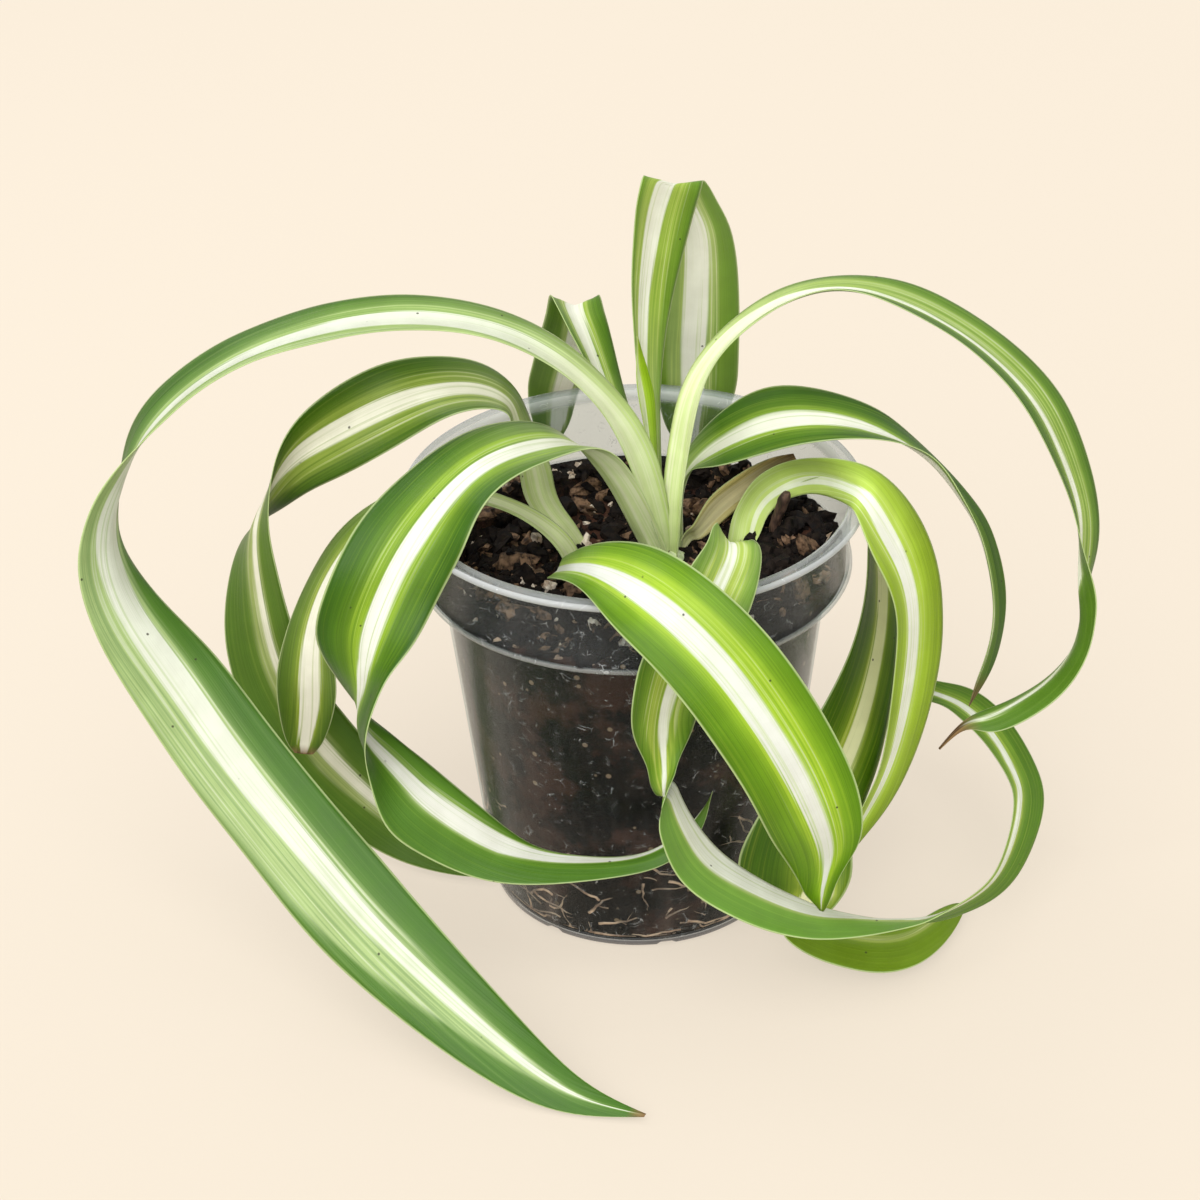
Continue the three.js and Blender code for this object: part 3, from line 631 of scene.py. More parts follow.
def strap_paint_group():
    """The shader group that paints a strap leaf: streaked green margins, lime lines and a white heart."""
    tree = bpy.data.node_groups.new("strap_paint", "ShaderNodeTree")
    for name in ("Green", "Lime", "Heart", "Under"):
        tree.interface.new_socket(name, in_out="INPUT", socket_type="NodeSocketColor")
    for name, kind in {"Colour": "Color", "Roughness": "Float", "Height": "Float"}.items():
        tree.interface.new_socket(name, in_out="OUTPUT", socket_type="NodeSocket" + kind)
    given = add_node(tree, "NodeGroupInput").outputs

    def marked(name):
        read = add_node(tree, "ShaderNodeAttribute", attribute_name=name).outputs["Vector"]
        return add_node(tree, "ShaderNodeSeparateXYZ", {0: read}).outputs

    across, along, _ = marked("strap")
    first, second, third = marked("bands_a")
    fourth, pale, dry = marked("bands_b")
    under, half_width, seed = marked("side")
    offset = times(tree, across, half_width)

    def streaks(per_mm, along_per_mm, detail=2.0):
        drawn = vector(tree, times(tree, offset, per_mm), times(tree, along, along_per_mm), seed)
        return grain(tree, drawn, 1.0, detail, 0.55)

    broad, narrow, hair = streaks(0.22, 0.012), streaks(1.3, 0.010, 3), streaks(3.6, 0.02, 2)
    wander = times(tree, calc(tree, "SUBTRACT", broad, 0.5), 0.22)
    fray = times(tree, calc(tree, "SUBTRACT", narrow, 0.5), 0.26)
    at = plus(tree, across, plus(tree, wander, fray))

    def band(low, high, soft):
        rise = step(tree, at, calc(tree, "SUBTRACT", low, soft), plus(tree, low, soft))
        fall = step(tree, at, calc(tree, "SUBTRACT", high, soft), plus(tree, high, soft), 1, 0)
        return times(tree, rise, fall)

    near = band(calc(tree, "SUBTRACT", first, 0.26), plus(tree, fourth, 0.26), 0.26)
    green = mix(tree, near, mix(tree, 0.30, given["Green"], (0.0, 0.02, 0.0, 1)), given["Green"])
    green = mix(tree, times(tree, times(tree, near, near), 0.26), green, given["Lime"])
    green = mix(tree, step(tree, broad, 0.3, 0.7, 0, 0.5), green, (0.70, 0.74, 0.55, 1), "MULTIPLY")
    green = mix(tree, step(tree, narrow, 0.48, 0.70, 0, 0.22), green, given["Lime"])
    green = mix(tree, step(tree, hair, 0.48, 0.64, 0, 0.42), green, (0.50, 0.56, 0.40, 1), "MULTIPLY")
    green = mix(tree, times(tree, under, 0.55), green, given["Under"])
    lime = mix(tree, step(tree, narrow, 0.44, 0.64, 0, 0.60), given["Lime"], given["Green"])
    lime = mix(tree, step(tree, narrow, 0.32, 0.47, 0.36, 0), lime, given["Heart"])
    lime = mix(tree, times(tree, under, 0.12), lime, given["Heart"])
    heart = mix(tree, step(tree, narrow, 0.50, 0.68, 0, 0.42), given["Heart"], given["Lime"])
    heart = mix(tree, step(tree, hair, 0.50, 0.75, 0, 0.16), heart, (0.50, 0.55, 0.38, 1))
    colour = mix(tree, band(first, fourth, 0.09), green, lime)
    colour = mix(tree, band(second, third, 0.045), colour, heart)
    # The pale cream-green of the leaf bases near the crown, partly their own colour and partly painted
    # light: it is made brighter to offset the shade there from neighbouring leaves and the dark soil.
    pale_base_and_painted_light = mix(tree, step(tree, narrow, 0.4, 0.66), (0.72, 0.85, 0.34, 1), (0.94, 0.97, 0.66, 1))
    colour = mix(tree, pale, colour, pale_base_and_painted_light)
    # A pale line along the blade's edges: partly the leaf's own pale margin, partly painted light that lifts
    # the darker shading at its thin edges.
    pale_margin_and_edge_light = step(tree, calc(tree, "ABSOLUTE", across), 0.95, 0.985, 0, 0.70)
    colour = mix(tree, pale_margin_and_edge_light, colour, (0.60, 0.72, 0.34, 1))
    brown = mix(tree, step(tree, narrow, 0.4, 0.6), (0.30, 0.18, 0.08, 1), (0.12, 0.065, 0.03, 1))
    colour = mix(tree, dry, colour, brown)
    spot_at = vector(tree, offset, along, seed)
    cells = add_node(tree, "ShaderNodeTexVoronoi", {"Vector": spot_at, "Scale": 0.16})
    picked = step(tree, grain(tree, cells.outputs["Position"], 3.7, 0), 0.56, 0.58)
    spots = times(tree, step(tree, cells.outputs["Distance"], 0.035, 0.07, 0.85, 0), picked)
    colour = mix(tree, spots, colour, (0.030, 0.024, 0.012, 1))
    blotch = grain(tree, spot_at, 0.12, 3)
    colour = mix(tree, step(tree, blotch, 0.35, 0.7, 0.10, 0), colour, (0.25, 0.22, 0.10, 1), "MULTIPLY")
    fleck = grain(tree, spot_at, 3.0, 2)
    rough = plus(tree, step(tree, blotch, 0.3, 0.7, 0.30, 0.40), times(tree, dry, 0.3))
    puckers = times(tree, streaks(0.35, 1.3, 1), 0.45)
    height = plus(tree, plus(tree, plus(tree, hair, narrow), times(tree, fleck, 0.16)), puckers)
    add_node(tree, "NodeGroupOutput", {0: colour, 1: rough, 2: height})
    return tree


strap_paint = strap_paint_group()


def paint_leaf(leaf, green, lime, heart, under):
    """A living leaf's material: painted stripes on a satin, slightly see-through skin with fine ribs."""
    own_name = leaf.name.removeprefix("leaf_").removesuffix("_blade")
    material, tree, shader = add_material(own_name + "_skin")
    paint = add_node(tree, "ShaderNodeGroup", node_tree=strap_paint)
    for socket, colour in {"Green": green, "Lime": lime, "Heart": heart, "Under": under}.items():
        paint.inputs[socket].default_value = (*colour, 1)
    plug(tree, shader, {
        "Base Color": paint.outputs["Colour"],
        "Roughness": paint.outputs["Roughness"],
        "Specular IOR Level": 0.25,
        "Normal": bump(tree, 0.35, 0.00025, paint.outputs["Height"]),
    })
    glow = add_node(tree, "ShaderNodeBsdfTranslucent", {"Color": paint.outputs["Colour"]})
    lit = add_node(tree, "ShaderNodeMixShader", {0: 0.22, 1: shader.outputs[0], 2: glow.outputs[0]})
    plug(tree, tree.nodes["Material Output"], {"Surface": lit.outputs[0]})
    leaf.data.materials.append(material)


long_left_route = [
    (0.009, 0.004, 0.096, 60, -30, 0.007), (0.005, 0.004, 0.115, 45, 15, 0.009, 0.002),
    (-0.001, 0.004, 0.133, 50, -15, 0.011, 0.002), (-0.011, 0.005, 0.146, 70, -5, 0.013, 0.002),
    (-0.022, 0.006, 0.155, 75, 0, 0.015, 0.002), (-0.036, 0.007, 0.1612, 85, 0, 0.017, 0.002),
    (-0.054, 0.009, 0.1632, 90, 5, 0.018, 0.002), (-0.071, 0.008, 0.1622, 95, 5, 0.019, 0.002),
    (-0.087, 0.006, 0.1592, 100, 0, 0.02, 0.002), (-0.102, 0.003, 0.1542, 105, -5, 0.02, 0.002),
    (-0.1156, 0.0002, 0.1453, 108, -6, 0.0209, 0.002), (-0.1246, -0.0048, 0.1363, 112, -17, 0.0215, 0.002),
    (-0.1306, -0.01, 0.126, 85, -28, 0.0201, 0.003), (-0.1329, -0.0162, 0.1187, 75, -26, 0.0195, 0.003),
    (-0.133, -0.02, 0.109, 60, -15, 0.02, 0.003), (-0.127, -0.025, 0.096, 45, 0, 0.021, 0.002),
    (-0.116, -0.031, 0.082, 25, 20, 0.0235), (-0.104, -0.039, 0.065, 20, 25, 0.025, 0.001),
    (-0.089, -0.05, 0.049, 20, 30, 0.0255, 0.001), (-0.072, -0.063, 0.032, 30, 40, 0.0265, 0.001),
    (-0.054, -0.077, 0.02, 35, 40, 0.0225, 0.001), (-0.034, -0.092, 0.009, 50, 30, 0.0165, 0.001),
    (-0.018, -0.102, 0.003, 45, 35, 0.009, 0.0005), (-0.001, -0.107, 0.002, 55, 20, 0.001, 0),
]
long_left_stripes = [
    (0, -1, -1, 0.6, 0.8, 0.75), (3, -1, -0.9, 0.35, 0.6, 0.45), (4.5, -1, -0.7, 0.35, 0.6, 0.12),
    (7, -1, -0.46, 0.26, 0.54), (9, -1, -0.5, 0.05, 0.25), (11.3, -1, -0.5, -0.05, 0.1),
    (13, -0.97, -0.55, 0.55, 0.8), (15, -0.95, -0.3, 0.35, 0.5), (17, -0.94, -0.28, 0.28, 0.42),
    (18.5, -0.85, -0.18, 0.28, 0.38), (20, -0.55, -0.1, 0.22, 0.32), (21.5, -0.15, -0.05, 0.18, 0.25),
    (22.4, 0, 0.02, 0.1, 0.14), (22.75, 0, 0.02, 0.1, 0.14), (22.95, 0, 0.05, 0.05, 0.1, 0, 1),
]
long_left = strap("leaf_long_left_blade", long_left_route, long_left_stripes)
paint_leaf(long_left, (0.08, 0.205, 0.012), (0.35, 0.49, 0.15), (0.72, 0.75, 0.64), (0.06, 0.165, 0.015))
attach(long_left, "root")
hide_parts("leaf_long_left")

# Upper left leaf: a living leaf that grows from the soil beside the crown. It arches over the rim to
# the left inside the long leaf, turns over and hangs in a wide curl to just above the surface.
left_upper_route = [
    (-0.0173, 0.0136, 0.0967, 49, -8, 0.0088), (-0.024, 0.0152, 0.105, 36, -14, 0.0103, 0.002),
    (-0.0249, 0.0139, 0.1159, 39, -11, 0.011, 0.002), (-0.0283, 0.0164, 0.1261, 70, -17, 0.0127, 0.002),
    (-0.0298, 0.0182, 0.133, 83, -8, 0.0162), (-0.0383, 0.02, 0.1371, 86, 10, 0.02),
    (-0.051, 0.019, 0.137, 100, 25, 0.021), (-0.065, 0.017, 0.132, 105, 60, 0.022),
    (-0.079, 0.014, 0.125, 175, 75, 0.022, 0.002), (-0.088, 0.012, 0.118, -115, 65, 0.021, 0.003),
    (-0.094, 0.011, 0.107, -90, 35, 0.02, 0.003), (-0.099, 0.013, 0.097, -60, 15, 0.02, 0.0025),
    (-0.101, 0.014, 0.082, -35, 15, 0.02, 0.002), (-0.101, 0.014, 0.065, -15, 5, 0.021),
    (-0.098, 0.013, 0.05, 5, 25, 0.021), (-0.091, 0.01, 0.037, 30, 40, 0.024),
    (-0.079, 0.006, 0.023, 35, 40, 0.0225, 0.001), (-0.064, 0.002, 0.01, 35, 45, 0.019, 0.001),
    (-0.051, -0.006, 0.007, 35, 45, 0.0125, 0.001), (-0.042, -0.01, 0.004, 60, 55, 0.004, 0.0005),
]
left_upper_stripes = [
    (0, -0.9, -0.5, 0.4, 0.7, 0.9), (2, -0.85, -0.45, 0.4, 0.62, 0.7), (3.5, -0.75, -0.35, 0.3, 0.55, 0.2),
    (6, -0.62, -0.3, 0.2, 0.5), (9, -0.6, -0.2, 0.3, 0.5), (11, -0.1, 0.18, 0.4, 0.48),
    (12.5, -0.02, 0.2, 0.42, 0.48), (14, -0.04, 0.18, 0.38, 0.44), (15.5, -0.3, -0.02, 0.28, 0.38),
    (17, -0.15, -0.05, 0.15, 0.22), (19, -0.05, 0, 0.05, 0.1),
]
left_upper = strap("leaf_left_upper_blade", left_upper_route, left_upper_stripes, (-0.012, 0.012, 0.086))
paint_leaf(left_upper, (0.066, 0.165, 0.004), (0.3, 0.4, 0.06), (0.88, 0.87, 0.73), (0.11, 0.22, 0.02))
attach(left_upper, "root")
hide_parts("leaf_left_upper")

# Low left leaf: a short living leaf that leaves the soil on its own, crosses the rim and points down
# behind the left front leaf, with a dry tip.
left_low_route = [
    (-0.016, 0, 0.098, 60, -5, 0.008, 0.001), (-0.023, 0, 0.107, 80, -5, 0.009, 0.001),
    (-0.034, 0, 0.114, 80, -15, 0.011, 0.001), (-0.048, -0.007, 0.121, 85, -5, 0.013, 0.001),
    (-0.062, -0.009, 0.117, 100, 5, 0.015, 0.001), (-0.075, -0.008, 0.104, 110, 0, 0.0165),
    (-0.084, -0.006, 0.084, 130, -10, 0.017), (-0.0865, -0.0062, 0.0666, 149, -6, 0.0197),
    (-0.0875, -0.0062, 0.0546, 164, -12, 0.0163, 0.002), (-0.0887, -0.0057, 0.0455, 163, -8, 0.0113),
    (-0.0894, -0.005, 0.0407, 177, 6, 0.0049, 0),
]
left_low_stripes = [
    (0, -0.9, -0.5, 0.5, 0.9, 0.8), (2, -0.75, -0.4, 0.4, 0.7, 0.6), (4, -0.6, -0.4, 0.3, 0.45, 0.1),
    (8, -0.5, -0.4, 0.3, 0.42), (9.4, -0.4, -0.3, 0.35, 0.45), (9.8, -0.3, -0.3, 0.3, 0.3, 0, 0.6),
    (10, -0.3, -0.3, 0.3, 0.3, 0, 1),
]
left_low = strap("leaf_left_low_blade", left_low_route, left_low_stripes, (-0.016, 0.0, 0.09))
paint_leaf(left_low, (0.095, 0.2, 0.004), (0.31, 0.41, 0.04), (0.88, 0.87, 0.76), (0.17, 0.29, 0.04))
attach(left_low, "root")
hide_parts("leaf_left_low")

# Left front leaf: a broad living leaf that grows from the crown and arches over the left of the rim. It
# curls under and passes across the front of the pot as a thin band.
left_front_route = [
    (0.005, 0.005, 0.097, 150, -15, 0.008), (0, 0.002, 0.111, 140, -20, 0.01),
    (-0.005, -0.001, 0.123, 135, -25, 0.012), (-0.013, -0.005, 0.134, 130, -5, 0.015),
    (-0.024, -0.011, 0.137, 115, 10, 0.019), (-0.034, -0.017, 0.137, 120, 5, 0.023),
    (-0.042, -0.022, 0.134, 125, 5, 0.025), (-0.05, -0.029, 0.128, 135, 5, 0.027),
    (-0.058, -0.036, 0.118, 170, 15, 0.027), (-0.065, -0.04, 0.104, 175, 5, 0.027),
    (-0.069, -0.042, 0.093, 135, -15, 0.027, 0.002), (-0.0684, -0.0428, 0.0844, 119, -27, 0.0255, 0.0003),
    (-0.0677, -0.0446, 0.0747, 91, -23, 0.0232, -0.003), (-0.0636, -0.0461, 0.0655, 71, 1, 0.0193, -0.0016),
    (-0.058, -0.05, 0.057, 55, 25, 0.021), (-0.048, -0.052, 0.049, 50, 30, 0.019, 0.001),
    (-0.037, -0.053, 0.041, 60, 20, 0.016, 0.001), (-0.024, -0.054, 0.037, 80, 10, 0.011, 0.001),
    (-0.006, -0.054, 0.037, 95, 10, 0.007, 0.0007), (0.005, -0.054, 0.04, 100, 10, 0.0055, 0.0007),
    (0.014, -0.052, 0.047, 150, 40, 0.0035, 0.0005), (0.018, -0.05, 0.057, 90, -45, 0.001, 0),
]
left_front_stripes = [
    (0, -1, -0.8, 0.4, 0.7, 0.9), (2.2, -0.95, -0.7, 0.3, 0.6, 0.7), (3.5, -0.7, -0.4, 0.2, 0.45, 0.15),
    (6, -0.45, -0.3, 0.1, 0.4), (10, -0.42, -0.28, 0.1, 0.38), (11, -0.25, -0.12, 0.25, 0.4),
    (12, 0.04, 0.12, 0.45, 0.55), (13, 0, 0.06, 0.45, 0.55), (14, -0.08, 0, 0.45, 0.52),
    (16, -0.05, 0.03, 0.66, 0.75), (18, 0.35, 0.45, 0.95, 1.05), (20, 0.75, 0.85, 1.1, 1.2),
    (21, 0.9, 1, 1.1, 1.2, 0, 0.2),
]
left_front = strap("leaf_left_front_blade", left_front_route, left_front_stripes)
paint_leaf(left_front, (0.058, 0.17, 0.004), (0.27, 0.43, 0.025), (0.8, 0.81, 0.73), (0.11, 0.25, 0.03))
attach(left_front, "root")
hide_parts("leaf_left_front")

# Front leaf: a broad living leaf with a bright white heart. It leaves the crown low, rolls over the
# front of the rim and hangs across the pot to a point.
front_route = [
    (0.004, 0.002, 0.096, -125, 5, 0.007, 0.001), (-0.007, -0.009, 0.098, -100, 10, 0.011, 0.001),
    (-0.017, -0.014, 0.101, -105, 10, 0.014, 0.001), (-0.021, -0.022, 0.106, -105, 15, 0.016, 0.001),
    (-0.015, -0.04, 0.118, -95, 5, 0.018, 0.001), (-0.006, -0.053, 0.123, -110, -15, 0.022),
    (0.006, -0.068, 0.122, -145, -45, 0.0235), (0.018, -0.075, 0.112, -155, -35, 0.025),
    (0.027, -0.079, 0.1, -160, -30, 0.0255), (0.036, -0.081, 0.084, -160, -30, 0.025),
    (0.042, -0.08, 0.067, 165, -35, 0.025), (0.0444, -0.0767, 0.0545, 150, -39, 0.0215, 0.002),
    (0.0431, -0.074, 0.044, 131, -48, 0.013, 0.002), (0.044, -0.071, 0.035, 130, -15, 0.0015, 0),
]
front_stripes = [
    (0, -1, -0.5, 0.5, 0.9, 0.6), (2.5, -0.7, -0.35, 0.3, 0.6, 0.3), (4, -0.5, -0.22, 0.24, 0.42),
    (8, -0.58, -0.24, 0.26, 0.4), (11, -0.5, -0.2, 0.18, 0.34), (12.4, -0.35, -0.1, 0.15, 0.25),
    (13, -0.1, 0, 0.1, 0.2, 0, 0.3),
]
front = strap("leaf_front_blade", front_route, front_stripes)
paint_leaf(front, (0.15, 0.33, 0.004), (0.37, 0.55, 0.035), (0.74, 0.76, 0.7), (0.19, 0.35, 0.04))
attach(front, "root")
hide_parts("leaf_front")

# Loop leaf: a long living leaf from the crown. It hangs behind the front leaf, turns over in front of
# the pot and swings out to the right in a wide open loop that ends behind the right front leaf.
front_loop_route = [
    (0.0121, -0.0011, 0.0909, -122, 51, 0.0081), (0.0181, -0.013, 0.0984, -168, 59, 0.0061),
    (0.0221, -0.0254, 0.1113, -149, 49, 0.0125), (0.0234, -0.0375, 0.1245, 163, 26, 0.0083, 0.0034),
    (0.0238, -0.0427, 0.1262, 167, 18, 0.0122, 0.0032), (0.0229, -0.0498, 0.1247, 163, 22, 0.0143, 0.0026),
    (0.0186, -0.061, 0.1217, 161, 29, 0.0174, 0.0016), (0.0123, -0.0649, 0.1102, 165, 18, 0.0171, 0.001),
    (0.0077, -0.064, 0.0989, -164, 26, 0.0193, 0.001), (0.0053, -0.063, 0.087, -150, 21, 0.0188, 0.001),
    (0.0053, -0.063, 0.075, -177, -9, 0.0077, 0.0016), (0.005, -0.0641, 0.0685, 117, -43, 0.0101, 0.001),
    (0.0053, -0.0636, 0.0646, 87, -28, 0.0181, 0.0008), (0.0061, -0.0639, 0.0647, 79, -2, 0.0196, 0.001),
    (0.0079, -0.0673, 0.0595, 68, -9, 0.0182, 0.0012), (0.014, -0.068, 0.047, 60, -5, 0.019, 0.0012),
    (0.026, -0.069, 0.038, 75, 0, 0.0185, 0.0012), (0.04, -0.068, 0.03, 80, -5, 0.017, 0.0012),
    (0.052, -0.066, 0.026, 85, -15, 0.015, 0.002), (0.066, -0.062, 0.023, 85, -30, 0.013),
    (0.076, -0.056, 0.02, 70, -40, 0.013, 0.0012), (0.09, -0.045, 0.019, 55, -45, 0.013, 0.0012),
    (0.099, -0.031, 0.02, 45, -30, 0.014), (0.105, -0.014, 0.025, 40, -25, 0.014),
    (0.104, -0.003, 0.029, 45, -10, 0.013), (0.098, 0.008, 0.035, 55, 10, 0.0125),
    (0.091, 0.016, 0.038, 70, 15, 0.012, 0.001), (0.084, 0.022, 0.038, 85, 5, 0.009, 0.001),
    (0.078, 0.027, 0.036, 70, 55, 0.0035, 0),
]
front_loop_stripes = [
    (0, -0.9, -0.5, 0.5, 0.8, 0.6), (2, -0.6, -0.15, 0.2, 0.6, 0.15), (6, -0.6, -0.15, 0.2, 0.55, 0.05),
    (8, -0.5, -0.25, 0.08, 0.5), (10, -0.5, -0.2, 0.1, 0.5), (11.5, -0.4, -0.2, 0.3, 0.5),
    (13, -0.2, -0.05, 1.1, 1.2), (14.5, -0.06, 0.02, 1.2, 1.3), (18, -0.06, 0.04, 1.2, 1.3),
    (19, -0.4, -0.2, 0.3, 0.6), (20, -0.85, -0.75, -0.3, -0.15), (23, -0.85, -0.75, -0.35, -0.22),
    (25, -0.55, -0.4, 0, 0.12), (28, -0.3, -0.2, 0.2, 0.3),
]
front_loop = strap("leaf_front_loop_blade", front_loop_route, front_loop_stripes, evened=9)
paint_leaf(front_loop, (0.14, 0.3, 0.016), (0.4, 0.52, 0.07), (0.84, 0.87, 0.76), (0.205, 0.42, 0.065))
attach(front_loop, "root")
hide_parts("leaf_front_loop")

# Right front leaf: a broad yellow-green living leaf that grows from the soil beside the crown. It
# twists as it rises, bends over the rim and drops down the right side of the pot.
right_front_route = [
    (0.0285, 0.0069, 0.097, -49, 15, 0.0089, 0.002), (0.0311, 0.014, 0.101, -3, -26, 0.0082, 0.002),
    (0.036, 0.015, 0.1074, -16, -37, 0.0098), (0.0446, 0.0132, 0.112, -47, -35, 0.011, 0.0025),
    (0.053, -0.0074, 0.1211, -87, -18, 0.0152, 0.002), (0.0582, -0.0166, 0.123, -120, -9, 0.0178),
    (0.0642, -0.0195, 0.1136, -122, -11, 0.0224), (0.0694, -0.0191, 0.1028, -124, -4, 0.0228),
    (0.0726, -0.0189, 0.0878, -129, 14, 0.0226), (0.0718, -0.0202, 0.0683, -131, 17, 0.0222),
    (0.0684, -0.0244, 0.0514, -128, 18, 0.0192), (0.0636, -0.029, 0.04, -125, 34, 0.0156),
    (0.057, -0.034, 0.032, -135, 45, 0.009, 0.001), (0.053, -0.038, 0.025, -105, 50, 0.0015, 0),
]
right_front_stripes = [
    (0, -0.4, 0.2, 0.5, 1, 0.45), (2, -0.3, 0.2, 0.5, 1, 0.35), (3, -0.35, 0.05, 0.5, 0.95, 0.25),
    (5, -0.5, -0.2, 0.4, 0.7, 0.08), (7, -0.35, -0.1, 0.42, 0.58), (11, -0.25, -0.05, 0.45, 0.55),
    (12.5, -0.2, 0, 0.3, 0.4), (13, -0.1, 0, 0.2, 0.3, 0, 0.2),
]
right_front = strap("leaf_right_front_blade", right_front_route, right_front_stripes, (0.025, 0.007, 0.087))
paint_leaf(right_front, (0.4, 0.6, 0.026), (0.5, 0.68, 0.08), (0.94, 0.96, 0.88), (0.33, 0.43, 0.12))
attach(right_front, "root")
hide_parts("leaf_right_front")

# Right back leaf: a living leaf that grows from the soil beside the one in front of it, follows it over
# the rim, reaches the surface and turns right along it.
right_behind_route = [
    (0.031, 0.017, 0.092, -70, 15, 0.005, 0.001), (0.036, 0.02, 0.102, -80, 15, 0.006, 0.001),
    (0.043, 0.018, 0.108, -85, 15, 0.0065, 0.001), (0.051, 0.008, 0.116, -90, 15, 0.007, 0.001),
    (0.056, -0.003, 0.121, -100, 10, 0.008, 0.001), (0.061, -0.009, 0.116, -120, 5, 0.01, 0.001),
    (0.064, -0.004, 0.097, -125, 30, 0.018), (0.064, -0.006, 0.08, -130, 35, 0.02),
    (0.0607, -0.011, 0.0641, -147, 38, 0.0218), (0.0535, -0.0223, 0.0496, -162, 31, 0.0252),
    (0.0435, -0.0343, 0.0365, -171, 28, 0.0268), (0.0395, -0.0429, 0.0261, -174, 9, 0.0311),
    (0.039, -0.0444, 0.017, 173, 11, 0.0204), (0.0349, -0.0423, 0.0112, 82, 0, 0.0116),
    (0.0441, -0.0457, 0.0066, 72, 0, 0.0138, 0.001), (0.052, -0.049, 0.006, 80, 10, 0.014, 0.001),
    (0.061, -0.052, 0.006, 85, 10, 0.014, 0.001), (0.07, -0.05, 0.006, 95, 15, 0.0125, 0.001),
    (0.078, -0.041, 0.005, 105, 15, 0.0105, 0.001), (0.084, -0.033, 0.004, 100, 10, 0.0065, 0.0005),
    (0.087, -0.03, 0.004, 90, 0, 0.001, 0),
]
right_behind_stripes = [
    (0, -0.9, -0.4, 0.6, 0.9, 0.5), (4, -0.8, -0.4, 0.5, 0.8, 0.2), (7, -0.5, -0.45, -0.05, 0.1),
    (9, -0.5, -0.45, -0.05, 0.1), (10.4, -0.6, -0.5, -0.1, 0.05), (11.5, -0.9, -0.8, -0.25, -0.1),
    (12, -0.9, -0.8, -0.1, 0), (13, 0.2, 0.45, 0.45, 0.6), (14, 0.32, 0.5, 0.5, 0.66),
    (18, 0.35, 0.5, 0.5, 0.7), (20, 0.2, 0.3, 0.3, 0.4, 0, 0.1),
]
right_behind_foot = (0.031, 0.017, 0.084)
right_behind = strap("leaf_right_behind_blade", right_behind_route, right_behind_stripes, right_behind_foot)
# Its colours are brighter than its own, as painted light that offsets the shade the right front leaf casts
# on it.
paint_leaf(right_behind, (0.085, 0.2, 0.004), (0.38, 0.47, 0.05), (0.82, 0.82, 0.5), (0.24, 0.38, 0.012))
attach(right_behind, "root")
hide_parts("leaf_right_behind")

# High right leaf: a living leaf with a long pale base. It grows from the crown, arches far out to the
# right and turns over near its end, which has dried to a thin brown point.
right_arc_route = [
    (0.01, 0.004, 0.096, -60, 20, 0.007, 0.002), (0.01, 0.005, 0.11, -55, 25, 0.009, 0.0025),
    (0.012, 0.006, 0.125, -55, 20, 0.01, 0.0025), (0.015, 0.007, 0.141, -60, 25, 0.011, 0.002),
    (0.022, 0.008, 0.153, -65, 20, 0.012, 0.002), (0.0322, 0.0081, 0.1622, -77, 13, 0.0131, 0.002),
    (0.0435, 0.0072, 0.1683, -81, 12, 0.0143, 0.002), (0.0559, 0.0063, 0.1696, -99, 10, 0.0154, 0.002),
    (0.0703, 0.0043, 0.1656, -106, 1, 0.0168, 0.002), (0.0846, 0.0023, 0.1575, -117, 7, 0.0178, 0.002),
    (0.0965, 0.0002, 0.1473, -127, 8, 0.0177, 0.002), (0.105, -0.0018, 0.1363, -129, 12, 0.0182, 0.002),
    (0.1115, -0.0028, 0.1213, -132, 17, 0.0173, 0.002), (0.1154, -0.0048, 0.1093, -127, 27, 0.0164, 0.002),
    (0.117, -0.0076, 0.0981, -119, 23, 0.016, 0.0035), (0.1174, -0.0089, 0.0882, -88, 30, 0.014, 0.0035),
    (0.117, -0.0116, 0.083, -85, 29, 0.0131, 0.0025), (0.1156, -0.0131, 0.0738, -77, 28, 0.0122),
    (0.1109, -0.0143, 0.0652, -75, 17, 0.0113), (0.1034, -0.0152, 0.0583, -70, 7, 0.0105),
    (0.0925, -0.0171, 0.0538, -89, -15, 0.0087, 0.001), (0.0857, -0.0177, 0.0544, -82, -20, 0.003, 0.0003),
    (0.079, -0.019, 0.047, -75, 10, 0.001, 0),
]
right_arc_stripes = [
    (0, -1, -0.9, 0.9, 1, 0.95), (2.5, -1, -0.85, 0.8, 1, 0.85), (4.5, -0.9, -0.6, 0.6, 0.85, 0.4),
    (6.5, -0.75, -0.2, 0.25, 0.5, 0.05), (8.5, -0.6, 0.1, 0.3, 0.42), (12, -0.55, 0, 0.3, 0.45),
    (14.5, -0.6, -0.1, 0.4, 0.5), (16, -0.95, -0.85, -0.6, -0.5), (19, -0.7, -0.55, -0.25, -0.1),
    (20.4, -0.4, -0.2, 0.1, 0.2), (20.8, -0.3, -0.2, 0.1, 0.2, 0, 0.5), (21.2, -0.3, -0.2, 0.1, 0.2, 0, 1),
    (22, -0.3, -0.2, 0.1, 0.2, 0, 1),
]
right_arc = strap("leaf_right_arc_blade", right_arc_route, right_arc_stripes)
paint_leaf(right_arc, (0.09, 0.215, 0.012), (0.33, 0.47, 0.09), (0.9, 0.93, 0.8), (0.12, 0.25, 0.022))
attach(right_arc, "root")
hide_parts("leaf_right_arc")

